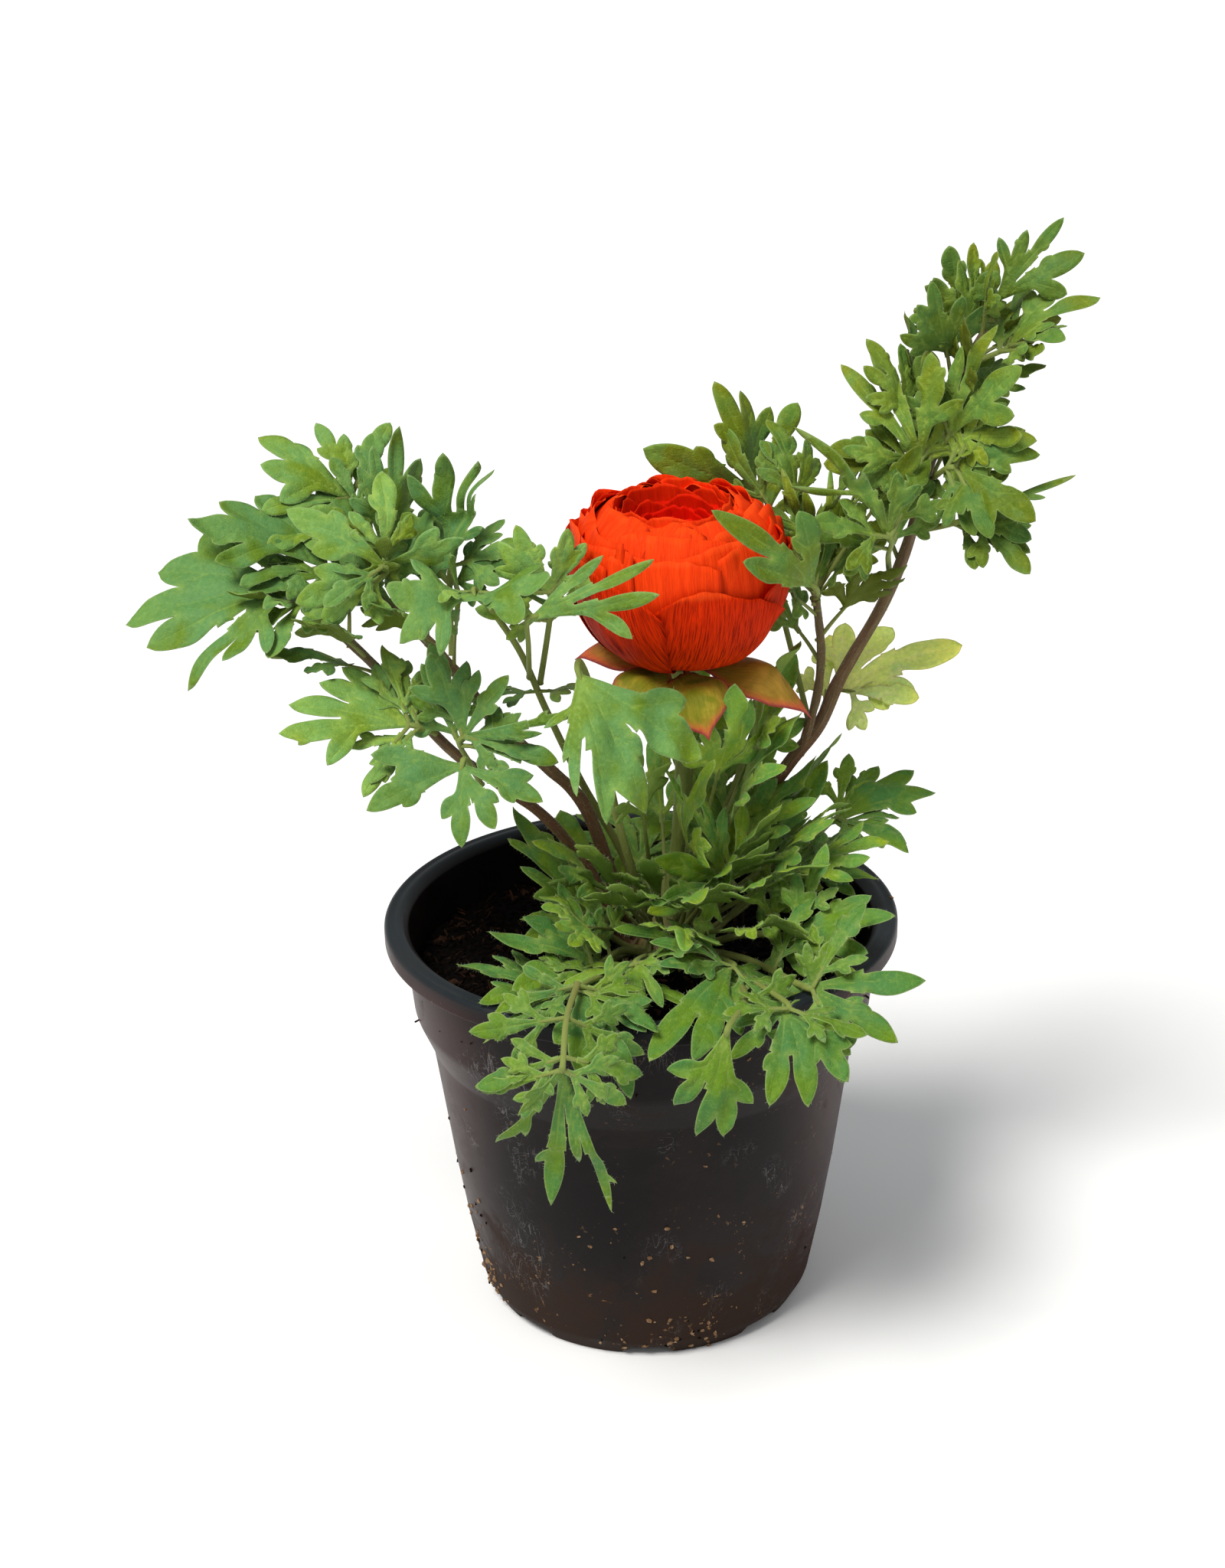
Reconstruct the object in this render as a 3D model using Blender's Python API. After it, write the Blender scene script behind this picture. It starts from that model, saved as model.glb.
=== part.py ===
"""A flowering ranunculus in a round nursery pot. Metres, +Z up, front towards -Y.

The origin is the middle of the pot's underside. All the sizes below are millimetres.
"""

import math

import bpy
import numpy as np
from mathutils.geometry import delaunay_2d_cdt

MM = 0.001

# ---- the pot ----
POT_HEIGHT = 106.0
LIP_WIDTH = 5.0  # from the wall's outside to the lip's outside
SKIRT_HEIGHT = 5.0
COLLAR_RADIUS = 60.0  # the straight band under the lip, at its top
COLLAR_DEPTH = 24.0  # from the rim down to where the band ends
SHOULDER_DEPTH = 33.0  # from the rim down to the step on which stacked pots rest
COLLAR_FOOT = (58.0, POT_HEIGHT - COLLAR_DEPTH)  # radius and height
SHOULDER = (54.3, POT_HEIGHT - SHOULDER_DEPTH)
WALL = ((54.0, SHOULDER[1] - 2.0), (49.8, 40.0), (43.6, 5.0))  # radius and height, downwards
WALL_THICK = 1.2
FOOT_RADIUS = 40.8
FOOT_INNER = 38.0
PAD_RADIUS = 14.0  # the flat middle of the base
CHANNEL_HEIGHT = 5.0  # the raised ring between the pad and the foot
NOTCHES = 8
NOTCH_HALF = 8.0  # degrees
NOTCH_HEIGHT = 3.0
DRAINS = 6
DRAIN_RADIUS = 3.5
DRAIN_CIRCLE = 27.0

# ---- the soil ----
SOIL_BELOW_RIM = 14.0
SOIL_TOP = POT_HEIGHT - SOIL_BELOW_RIM
SOIL_GAP = 0.6

# ---- the plant ----
CROWN = (6.0, -2.0)  # where everything grows from
CROWN_RADIUS = 8.6
CROWN_LIFT = 2.5  # from the soil's level to the crown's underside
STALK_CLEAR = 1.6  # from the crown to the middle of a stalk's foot
# The two rows of stalk feet: radius round the crown, and height above the soil.
CROWN_FEET = {"low": (CROWN_RADIUS + STALK_CLEAR, 6.5), "high": (CROWN_RADIUS - STALK_CLEAR, 10.2)}
FLOWER = (11.0, 0.0)
CALYX_TOP = SOIL_TOP + 78.0
# The plant's points below are drawn for this soil height, rim height, lip radius and crown radius.
DRAWN_SOIL = 92.0
DRAWN_RIM = 106.0
DRAWN_LIP = 65.0
DRAWN_CROWN = 8.6
LEAF_THICK = 0.6
PETIOLE_WIDTH = 1.6
PETIOLE_THICK = 1.3
PETAL_THICK = 0.8
PETALS = 5
PETAL_HALF = 33.0  # degrees
# Radius and height above the calyx, from the foot up.
PETAL_CURVE = ((5.0, 3.6), (13.0, 4.6), (20.0, 9.0), (25.2, 16.5), (26.6, 24.5), (25.8, 32.0))
HEART_CURVE = (
    (11.5, 7.0), (18.5, 11.5), (22.8, 18.0), (24.0, 26.0), (23.2, 33.5), (20.0, 39.5),
    (15.5, 43.6), (13.0, 44.4), (11.5, 42.0), (10.0, 36.0), (6.0, 31.5),
)  # fmt: skip

# Stems: the points a stem passes through, and its radius at both ends.
STEMS = {
    "stem_left_upper": (
        ((158, "low"), (-8, 1, 118), (-14, -1, 136), (-22, -5, 147), (-34, -8, 160),
         (-43, -8, 173), (-52, -8, 184), (-63, -8, 194)), 1.8, 1.2),
    "stem_left_lower": (
        ((186, "low"), (-12, -3, 117), (-23, -6, 134), (-35, -13, 147), (-44, -17, 156),
         (-53, -16, 166), (-61, -14, 176), (-69, -12, 184), (-76, -10, 191)), 1.5, 1.1),
    "stem_right": (
        ((50, "low"), (24, 10, 120), (38, 14, 139), (46, 16, 149), (50, 16, 159), (54, 16, 167),
         (61, 14, 181), (66, 12, 195), (69, 8, 209), (71, 6, 220), (75, 8, 231), (79, 10, 241),
         (84, 12, 250)), 2.0, 1.1),
    "stem_right_side": (((45.4, 12.4, 160), (46, 12, 170), (45, 10, 180), (44, 8, 187)), 1.2, 1.0),
}  # fmt: skip

# Leaves: where the stalk starts, the points it passes, the foot of the blade, the tips of the lobes,
# how far the lobes are joined (0 to 1), and how wide a lobe is for its length.
LEAVES = {
    "leaf_rosette_01": ((-152, "low"), (), (-11, -8.5, 106.2),
        ((-33, 8, 130), (-34, 0, 125), (-30, -9, 122), (-21, 13, 127)), 0.35, 0.28),
    "leaf_rosette_02": ((94, "low"), ((3, 12, 104),), (0, 17, 110),
        ((-16, 26, 122), (-11, 36, 122), (4, 35, 121), (-16, 16, 121)), 0.35, 0.3),
    "leaf_rosette_03": ((-124, "low"), ((-5, -20, 104),), (-12, -32, 107),
        ((-37, -36, 117), (-29, -30, 118), (-18, -25, 121), (-31, -51, 109)), 0.35, 0.28),
    "leaf_rosette_04": ((-138, "low"), ((-12, -24, 101),), (-24, -42, 104),
        ((-44, -38, 111), (-36, -31, 109), (-38, -53, 108)), 0.35, 0.3),
    "leaf_rosette_05": ((-110, "low"), ((-3, -28, 104),), (-14, -57, 112),
        ((-33, -69, 108), (-37, -65, 104), (-14, -82, 104), (-3, -81, 99), (1, -70, 108)), 0.3, 0.27),
    "leaf_rosette_06": ((-15, -60, 114.6), ((-17, -74, 114),), (-18, -85, 107),
        ((-34, -80, 86), (-28, -90, 98), (-22, -78, 69), (-15, -80, 81), (-8, -77, 66)), 0.3, 0.26),
    "leaf_rosette_07": ((-95, "low"), ((3, -26, 106),), (-1, -42, 111),
        ((-9, -61, 107), (-2, -60, 110), (5, -55, 106), (4, -47, 115)), 0.4, 0.36),
    "leaf_rosette_08": ((-79, "low"), ((14, -26, 106),), (21, -42, 110),
        ((4, -50, 115), (2, -77, 105.5), (12, -76, 105)), 0.4, 0.3),
    "leaf_rosette_09": ((23.4, -44, 107), ((24, -61, 111),), (19, -77, 111),
        ((7, -80, 94), (12, -80, 86), (18, -78, 85)), 0.5, 0.32),
    "leaf_rosette_10": ((-64, "low"), ((22, -34, 105),), (33, -62, 109),
        ((21, -68, 108), (20, -75, 104), (29, -79, 94), (38, -79, 94), (47, -76, 98)), 0.3, 0.26),
    "leaf_rosette_11": ((-42, "low"), ((26, -26, 104),), (40, -49, 108),
        ((39, -47, 119), (46, -44, 118), (66, -54, 112), (59, -64, 101), (48, -67, 101)), 0.28, 0.28),
    "leaf_rosette_12": ((-26, "low"), ((26, -18, 107),), (38, -30, 113),
        ((38, -25, 127), (56, -29, 122), (61, -36, 120), (54, -44, 114)), 0.35, 0.3),
    "leaf_rosette_13": ((73, "low"), ((11, 15, 104),), (14, 24, 110),
        ((1, 41, 121), (10, 47, 124), (20, 47, 121), (28, 40, 118)), 0.35, 0.28),
    "leaf_rosette_14": ((-18, "high"), ((17, -9, 111),), (21, -13, 119),
        ((3, -25, 131), (13, -20, 137), (6, -16, 153), (14, -11, 143)), 0.35, 0.24),
    "leaf_rosette_15": ((29, "low"), ((21, 6, 105),), (30, 10, 112),
        ((44, 14, 118), (49, 22, 137), (34, 24, 139), (28, 17, 127)), 0.4, 0.26),
    "leaf_rosette_16": ((-8, "low"), ((27, 0, 108),), (38, 1, 116),
        ((54, 8, 120), (60, -5, 115), (49, -10, 117)), 0.4, 0.32),
    "leaf_rosette_17": ((12, "low"), ((32, 8, 107),), (51, 19, 121),
        ((63, 33, 131), (72, 31, 131), (77, 25, 127), (68, 8, 120), (58, 9, 118)), 0.3, 0.24),
    "leaf_rosette_18": ((-120, "high"), ((1, -14, 114), (-4, -21, 135), (-8, -25, 158), (-11, -26, 176), (-13, -28.5, 183)),
        (-13, -33, 181),
        ((-17, -44, 164), (-14, -50, 158), (-7, -52, 152), (2, -46, 152), (15, -38, 162)), 0.62, 0.34),
    "leaf_left_01": ((-65, -5, 196.5), ((-67, 4, 205),), (-69, 12, 212),
        ((-90, 16, 227), (-89, 8, 222), (-77, 22, 228), (-70, 19, 226)), 0.5, 0.32),
    "leaf_left_02": ((-66.5, -7.8, 195.5), (), (-74, -2, 199),
        ((-106, -6, 211), (-99, 0, 214), (-91, 6, 214), (-82, 11, 214)), 0.5, 0.32),
    "leaf_left_03": ((-62.0, -11.0, 196.5), (), (-59, -16, 203),
        ((-78, -27, 198), (-80, -15, 217), (-39, -18, 210)), 0.3, 0.36),
    "leaf_left_04": ((-56, -4.5, 189.5), ((-59, 3, 194),), (-61, 8, 200),
        ((-57, 14, 229), (-52, 17, 220), (-63, 11, 225), (-66, 7, 221)), 0.4, 0.26),
    "leaf_left_05": ((-44.5, -4.8, 178.5), (), (-44, 0, 197),
        ((-44, 3, 225), (-37, 6, 222), (-33, 9, 219), (-37, -5, 217)), 0.4, 0.26),
    "leaf_left_06": ((116, "low"), ((-4, 6, 118), (-14, 2, 140), (-22, -7, 163), (-28, -15, 182)),
        (-37, -23, 198),
        ((-54, -35, 190), (-57, -30, 202), (-19, -35, 204), (-25, -39, 197)), 0.45, 0.36),
    "leaf_left_07": ((-77.5, -10, 193.2), (), (-82, -10, 196),
        ((-114, -4, 199), (-121, -12, 188), (-115, -21, 186), (-105, -27, 177), (-96, -28, 184)), 0.68, 0.4),
    "leaf_left_08": ((-49, -20, 163), (), (-54, -23, 166),
        ((-84, -32, 167), (-82, -26, 172), (-75, -21, 176), (-70, -16, 178)), 0.4, 0.26),
    "leaf_left_09": ((-38, -18.5, 149), ((-39, -28, 156),), (-41, -35, 160),
        ((-41, -47, 144), (-63, -43, 152), (-62, -36, 163), (-33, -49, 150), (-22, -43, 153)), 0.35, 0.32),
    "leaf_left_10": ((-40, -21, 155), (), (-41, -24, 163),
        ((-48, -22, 184), (-40, -18, 180), (-30, -20, 177), (-13, -33, 172), (-22, -30, 166)), 0.32, 0.26),
    "leaf_left_11": ((-25.5, -14.5, 175), ((-25, -25, 186),), (-23, -34, 196),
        ((-7, -39, 212), (4, -43, 212), (6, -46, 205)), 0.5, 0.32),
    "leaf_left_12": ((-23.0, -9.5, 172), ((-21, -15, 184),), (-20, -19, 197),
        ((-27, -22, 214), (-31, -22, 210), (-15, -19, 212)), 0.55, 0.4),
    "leaf_right_01": ((85.4, 12.8, 253), (), (87, 14, 257),
        ((93, 14, 273), (102, 18, 275), (106, 10, 268)), 0.5, 0.4),
    "leaf_right_02": ((82.6, 9.4, 243.5), (), (89, 8, 247),
        ((101, 11, 261), (109, 6, 259), (98, 0, 254)), 0.5, 0.36),
    "leaf_right_03": ((78.4, 9.4, 245), (), (79, 10, 251),
        ((77, 10, 267), (71, 5, 264), (82, 16, 270), (67, 14, 255)), 0.5, 0.34),
    "leaf_right_04": ((74.4, 4.6, 224.5), (), (75, 1, 228),
        ((84, -6, 255), (77, -3, 250), (88, -12, 246)), 0.6, 0.32),
    "leaf_right_05": ((68.3, 4.4, 215.5), (), (68, 2, 221),
        ((49, -8, 227), (50, 8, 243), (57, 11, 247), (70, -2, 248)), 0.3, 0.26),
    "leaf_right_06": ((72.6, 3.0, 217.5), (), (76, -4, 221),
        ((91, -8, 231), (94, -11, 226), (92, -21, 213)), 0.45, 0.34),
    "leaf_right_07": ((69, 8.5, 202), ((74, 2, 205),), (80, -4, 209),
        ((82, 1, 222), (90, -3, 215), (104, -6, 219), (93, -14, 206)), 0.35, 0.32),
    "leaf_right_08": ((62.4, 9.6, 190), ((61, 1, 198),), (60, -8, 206),
        ((38, -6, 232), (54, -14, 223), (62, -10, 222)), 0.35, 0.28),
    "leaf_right_09": ((43.6, 4.8, 188), (), (42, -7, 194),
        ((19, -31, 220), (25, -33, 208), (37, -21, 216)), 0.5, 0.34),
    "leaf_right_10": ((44.6, 10.6, 188), (), (45, 13, 193),
        ((41, 9, 213), (47, 5, 210), (48, 17, 217), (36, 14, 217)), 0.5, 0.34),
    "leaf_right_11": ((43.4, 17.6, 150), ((38, 25, 172), (33, 29, 190)), (30, 30, 206),
        ((4, 20, 220), (22, 26, 235), (28, 33, 231)), 0.4, 0.26),
    "leaf_old_yellow": ((43.0, 19.0, 144), ((47, 23, 149),), (52, 26, 155),
        ((82, 24, 168), (66, 36, 168), (54, 37, 169), (70, 16, 158)), 0.6, 0.46),
}  # fmt: skip

# Sepals: the foot and the tip, with their heights above the calyx, and the width for the length.
SEPALS = {
    "sepal_1": ((12.0, -4.6, 1.0), (17, -23, -10), 0.86),
    "sepal_2": ((15.6, -1.2, 1.0), (43, -5, -12), 0.62),
    "sepal_3": ((12.6, 4.6, 1.0), (20, 24, -7), 0.8),
    "sepal_4": ((6.4, 1.2, 1.0), (-15, 3, 3), 0.66),
    "sepal_5": ((7.8, -3.6, 1.0), (-6, -20, -6), 0.82),
}

COLOURS = {
    "pot": ((0.026, 0.020, 0.020), 0.42),
    "soil": ((0.030, 0.020, 0.014), 0.95),
    "stem": ((0.110, 0.065, 0.035), 0.6),
    "crown": ((0.130, 0.120, 0.045), 0.65),
    "leaf": ((0.100, 0.230, 0.055), 0.55),
    "leaf_old_yellow": ((0.330, 0.420, 0.070), 0.55),
    "petal": ((0.760, 0.060, 0.008), 0.5),
    "petal_heart": ((0.600, 0.015, 0.004), 0.5),
    "sepal": ((0.260, 0.210, 0.045), 0.55),
}


# ---- meshes ----
def add_object(name, points, faces, look):
    """One object made from points in millimetres, with a material of its own."""
    mesh = bpy.data.meshes.new(name)
    mesh.from_pydata([tuple(float(c) * MM for c in p) for p in points], [], faces)
    mesh.validate()
    colour, roughness = COLOURS[look]
    material = bpy.data.materials.new(name)
    material.use_nodes = True
    shader = material.node_tree.nodes["Principled BSDF"]
    shader.inputs["Base Color"].default_value = (*colour, 1.0)
    shader.inputs["Roughness"].default_value = roughness
    mesh.materials.append(material)
    obj = bpy.data.objects.new(name, mesh)
    bpy.context.scene.collection.objects.link(obj)
    return obj


def unit(vector):
    return vector / max(1e-9, float(np.linalg.norm(vector)))


def smooth_path(points, per_span):
    """A Catmull-Rom curve through the points."""
    points = np.array(points, float)
    padded = np.vstack([2 * points[0] - points[1], points, 2 * points[-1] - points[-2]])
    path = []
    for a, b, c, d in zip(padded, padded[1:], padded[2:], padded[3:]):
        for k in range(per_span):
            t = k / per_span
            path.append(0.5 * (2 * b + (c - a) * t + (2 * a - 5 * b + 4 * c - d) * t * t
                               + (3 * b - a - 3 * c + d) * t**3))  # fmt: skip
    return np.array([*path, points[-1]])


def carried_frames(path, first_side):
    """Side and up vectors along a path, turned as little as possible."""
    frames = []
    side = first_side
    for i in range(len(path)):
        along = unit(path[min(i + 1, len(path) - 1)] - path[max(i - 1, 0)])
        side = unit(side - along * float(side @ along))
        frames.append((side, np.cross(along, side)))
    return frames


def tube(path, radii, sides):
    """A closed tube with flat ends: points and faces."""
    frames = carried_frames(path, np.array((0.31, 0.95, 0.02)))
    points, faces = [], []
    for centre, (side, up), radius in zip(path, frames, radii):
        for k in range(sides):
            angle = 2 * math.pi * k / sides
            points.append(centre + radius * (math.cos(angle) * side + math.sin(angle) * up))
    for i in range(len(path) - 1):
        for k in range(sides):
            a, b = i * sides + k, i * sides + (k + 1) % sides
            faces.append((a, b, b + sides, a + sides))
    last = (len(path) - 1) * sides
    faces.append(tuple(reversed(range(sides))))
    faces.append(tuple(range(last, last + sides)))
    return points, faces


def turned(profile, angles, place=lambda r, z, angle: (r * math.cos(angle), r * math.sin(angle), z)):
    """A closed body turned about the vertical. A profile point on the axis becomes one point."""
    points, faces, rows = [], [], []
    for r, z in profile:
        if r == 0:
            rows.append([len(points)])
            points.append(place(0.0, z, 0.0))
        else:
            rows.append(list(range(len(points), len(points) + len(angles))))
            points.extend(place(r, z, angle) for angle in angles)
    for low, high in zip(rows, rows[1:]):
        for k in range(len(angles)):
            n = (k + 1) % len(angles)
            corners = [low[k % len(low)], low[n % len(low)], high[n % len(high)], high[k % len(high)]]
            faces.append(tuple(dict.fromkeys(corners)))
    return points, faces


# ---- pot and soil ----
def placed(point):
    """A plant point moved with the soil and the crown, and with the lip where leaves spill over it."""
    x, y, z = point
    away = math.hypot(x, y)
    near_lip = min(1.0, max(0.0, (away - 40) / 20)) * min(1.0, max(0.0, (136 - z) / 20))
    grow = 1 + (COLLAR_RADIUS + LIP_WIDTH - DRAWN_LIP) * near_lip / max(away, 1.0)
    from_crown = math.hypot(x - CROWN[0], y - CROWN[1])
    near_crown = min(1.0, max(0.0, (45 - from_crown) / 30)) * min(1.0, max(0.0, (175 - z) / 30))
    push = (CROWN_RADIUS - DRAWN_CROWN) * near_crown / max(from_crown, 1.0)
    x, y = x * grow + (x - CROWN[0]) * push, y * grow + (y - CROWN[1]) * push
    with_soil, with_rim = SOIL_TOP - DRAWN_SOIL, POT_HEIGHT - DRAWN_RIM
    return np.array((x, y, z + with_soil + (with_rim - with_soil) * near_lip))


def placed_start(start):
    """Where a stalk begins: a point, or a direction round the crown in degrees and which row of feet."""
    if len(start) == 3:
        return placed(start)
    out, up = CROWN_FEET[start[1]]
    angle = math.radians(start[0])
    return np.array((CROWN[0] + out * math.cos(angle), CROWN[1] + out * math.sin(angle), SOIL_TOP + up))


def build_pot():
    collar_top = POT_HEIGHT - SKIRT_HEIGHT
    inner = COLLAR_RADIUS - WALL_THICK
    lip = COLLAR_RADIUS + LIP_WIDTH
    outside = [
        (0.0, 0.0), (PAD_RADIUS, 0.0), (PAD_RADIUS + 2, CHANNEL_HEIGHT), (FOOT_INNER - 2, CHANNEL_HEIGHT),
        (FOOT_INNER, 0.0), (FOOT_RADIUS, 0.0), WALL[2], WALL[1], WALL[0], SHOULDER, COLLAR_FOOT,
        (COLLAR_RADIUS, collar_top - 1), (COLLAR_RADIUS + 0.1, POT_HEIGHT - 1.3),
        (lip - WALL_THICK, POT_HEIGHT - 1.3), (lip - WALL_THICK, collar_top), (lip, collar_top),
        (lip, POT_HEIGHT - 0.8), (lip - 0.8, POT_HEIGHT), (COLLAR_RADIUS + 0.8, POT_HEIGHT),
    ]  # fmt: skip
    inside = [
        (inner, POT_HEIGHT - 1.8), (COLLAR_FOOT[0] - WALL_THICK, COLLAR_FOOT[1]),
        (SHOULDER[0] - WALL_THICK, SHOULDER[1] - 1), (WALL[1][0] - WALL_THICK, WALL[1][1]),
        (WALL[2][0] - WALL_THICK, CHANNEL_HEIGHT + 1.6), (PAD_RADIUS + 3, CHANNEL_HEIGHT + 1.2),
        (PAD_RADIUS + 0.8, 1.4), (0.0, 1.4),
    ]  # fmt: skip
    step = 360 / NOTCHES
    offsets = (-NOTCH_HALF - 0.8, -NOTCH_HALF, 0.0, NOTCH_HALF, NOTCH_HALF + 0.8,
               NOTCH_HALF + 9.6, step - NOTCH_HALF - 9.6)  # fmt: skip
    angles = [math.radians(-90 + step * n + o) for n in range(NOTCHES) for o in offsets]

    def place(r, z, angle):
        from_notch = abs((math.degrees(angle) + 90 + step / 2) % step - step / 2)
        if z == 0 and r >= FOOT_INNER and from_notch < NOTCH_HALF + 0.1:
            lean = 0.56 if r > FOOT_INNER else -0.4
            r, z = r + lean * NOTCH_HEIGHT, NOTCH_HEIGHT
        return (r * math.cos(angle), r * math.sin(angle), z)

    points, faces = turned(outside + inside, angles, place)
    pot = add_object("pot", points, faces, "pot")
    for n in range(DRAINS):
        angle = 2 * math.pi * (n + 0.25) / DRAINS
        centre = (DRAIN_CIRCLE * math.cos(angle), DRAIN_CIRCLE * math.sin(angle))
        ring = [2 * math.pi * k / 12 for k in range(12)]
        profile = ((0.0, 2.0), (DRAIN_RADIUS, 2.0), (DRAIN_RADIUS, 9.0), (0.0, 9.0))
        points, faces = turned(profile, ring)
        points = [(x + centre[0], y + centre[1], z) for x, y, z in points]
        cutter = add_object(f"drain_cutter_{n}", points, faces, "pot")
        cutter.hide_render = True
        cutter.display_type = "WIRE"
        cut = pot.modifiers.new(f"drain_{n}", "BOOLEAN")
        cut.operation, cut.solver, cut.object = "DIFFERENCE", "EXACT", cutter


def soil_height(x, y):
    """The soil's surface: higher at the crown, lower at the wall, with slow bumps."""
    away = math.hypot(x - CROWN[0], y - CROWN[1])
    rise = 1.6 * math.exp(-((away / 22) ** 2))
    bumps = 0.9 * math.sin(x / 7.3 + 1.0) * math.cos(y / 8.1) + 0.6 * math.sin((x - y) / 4.9 + 2.0)
    return SOIL_TOP + rise + bumps * (1 - math.exp(-((away / 14) ** 2)))


def build_soil():
    at_wall = COLLAR_FOOT[0] - WALL_THICK + 0.9 - SOIL_GAP
    profile = [
        (0.0, 1.8), (PAD_RADIUS + 0.2, 1.8), (PAD_RADIUS + 2.6, CHANNEL_HEIGHT + 1.7),
        (WALL[2][0] - WALL_THICK - SOIL_GAP, CHANNEL_HEIGHT + 2.2),
        (WALL[1][0] - WALL_THICK - SOIL_GAP, WALL[1][1]),
        (SHOULDER[0] - WALL_THICK - SOIL_GAP, SHOULDER[1] - 1),
        (COLLAR_FOOT[0] - WALL_THICK - SOIL_GAP, COLLAR_FOOT[1] + 0.5),
        (at_wall, SOIL_TOP), (47.0, SOIL_TOP), (36.0, SOIL_TOP), (24.0, SOIL_TOP), (12.0, SOIL_TOP),
        (0.0, SOIL_TOP),
    ]  # fmt: skip
    angles = [2 * math.pi * k / 32 for k in range(32)]

    def place(r, z, angle):
        x, y = r * math.cos(angle), r * math.sin(angle)
        return (x, y, soil_height(x, y) - (1.4 if r == at_wall else 0) if z == SOIL_TOP else z)

    points, faces = turned(profile, angles, place)
    add_object("potting_soil", points, faces, "soil")


# ---- stems ----
def build_stems():
    foot = SOIL_TOP + CROWN_LIFT
    rings = (
        (0.0, 7.0), (1.6, CROWN_RADIUS), (4.6, CROWN_RADIUS - 0.8), (7.4, CROWN_RADIUS - 3.4),
        (10.5, 3.0), (16.0, 2.3), (32.0, 2.1), (52.0, 2.0), (68.0, 2.0), (CALYX_TOP - foot - 2.2, 2.6),
        (CALYX_TOP - foot, 4.0),
    )  # fmt: skip
    span = rings[-1][0]
    path, radii = [], []
    for up, radius in rings:
        t = up / span
        path.append((CROWN[0] + (FLOWER[0] - CROWN[0]) * t + 2.0 * math.sin(math.pi * t),
                     CROWN[1] + (FLOWER[1] - CROWN[1]) * t, foot + up))  # fmt: skip
        radii.append(radius)
    add_object("crown_and_flower_stem", *tube(np.array(path), radii, 10), "crown")
    for name, (points, thick, thin) in STEMS.items():
        path = smooth_path([placed_start(points[0]), *map(placed, points[1:])], 2)
        radii = np.linspace(thick, thin, len(path))
        add_object(name, *tube(path, radii, 6), "stem")


# ---- leaves ----
def lobe_outline(start, end, width):
    """A pointed lobe in the plane, widest at two thirds of its length."""
    along = end - start
    across = np.array((-along[1], along[0])) * width / 2
    shape = ((0.0, 0.22), (0.36, 0.62), (0.7, 1.0))
    left = [start + t * along + w * across for t, w in shape]
    right = [start + t * along - w * across for t, w in reversed(shape)]
    return [*left, end, *right]


def outer_loop(points, triangles):
    """The outline of a triangulated region, anticlockwise, as point numbers."""
    edges = {(t[k], t[(k + 1) % 3]) for t in triangles for k in range(3)}
    following = {}
    for a, b in edges:
        if (b, a) not in edges:
            following.setdefault(a, []).append(b)
    loops = []
    while following:
        start = next(iter(following))
        loop, here = [], start
        while True:
            loop.append(here)
            choices = following[here]
            towards = choices.pop()
            if not choices:
                del following[here]
            here = towards
            if here == start:
                break
        loops.append(loop)

    def area(loop):
        ring = [points[i] for i in loop]
        return sum(a[0] * b[1] - a[1] * b[0] for a, b in zip(ring, ring[1:] + ring[:1]))

    return max(loops, key=area)


def thinned(loop, kept, nearest, flattest):
    """The outline without points that lie too close together or on a straight run."""
    changed = True
    while changed:
        changed = False
        for i, point in enumerate(loop):
            if any(np.allclose(point, k, atol=1e-4) for k in kept):
                continue
            before, after = loop[i - 1], loop[(i + 1) % len(loop)]
            chord = after - before
            off = abs(chord[0] * (point - before)[1] - chord[1] * (point - before)[0])
            if np.linalg.norm(point - before) < nearest or off < flattest * np.linalg.norm(chord):
                loop = loop[:i] + loop[i + 1 :]
                changed = True
                break
    return loop


def inside_by(point, loop):
    """How far a point lies inside the outline; negative outside it."""
    nearest, crossings = 1e9, 0
    for a, b in zip(loop, loop[1:] + loop[:1]):
        along = b - a
        t = min(1.0, max(0.0, float((point - a) @ along) / max(1e-9, float(along @ along))))
        nearest = min(nearest, float(np.linalg.norm(point - a - t * along)))
        if (a[1] > point[1]) != (b[1] > point[1]):
            crossings += point[0] < a[0] + (point[1] - a[1]) / (b[1] - a[1]) * along[0]
    return nearest if crossings % 2 else -nearest


def bent_sheet(places, heights, give):
    """A smooth height field near the given heights: a thin-plate spline that may miss them a little."""
    places = np.array(places, float)

    def kernel(a, b):
        square = ((a[:, None] - b[None]) ** 2).sum(axis=2)
        return 0.5 * square * np.log(np.maximum(square, 1e-12))

    n = len(places)
    flat = np.hstack([np.ones((n, 1)), places])
    system = np.block([[kernel(places, places) + give * np.eye(n), flat], [flat.T, np.zeros((3, 3))]])
    weights = np.linalg.lstsq(system, np.append(heights, [0, 0, 0]), rcond=None)[0]

    def height(at):
        at = np.atleast_2d(at)
        return kernel(at, places) @ weights[:n] + np.hstack([np.ones((len(at), 1)), at]) @ weights[n:]

    return height


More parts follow.
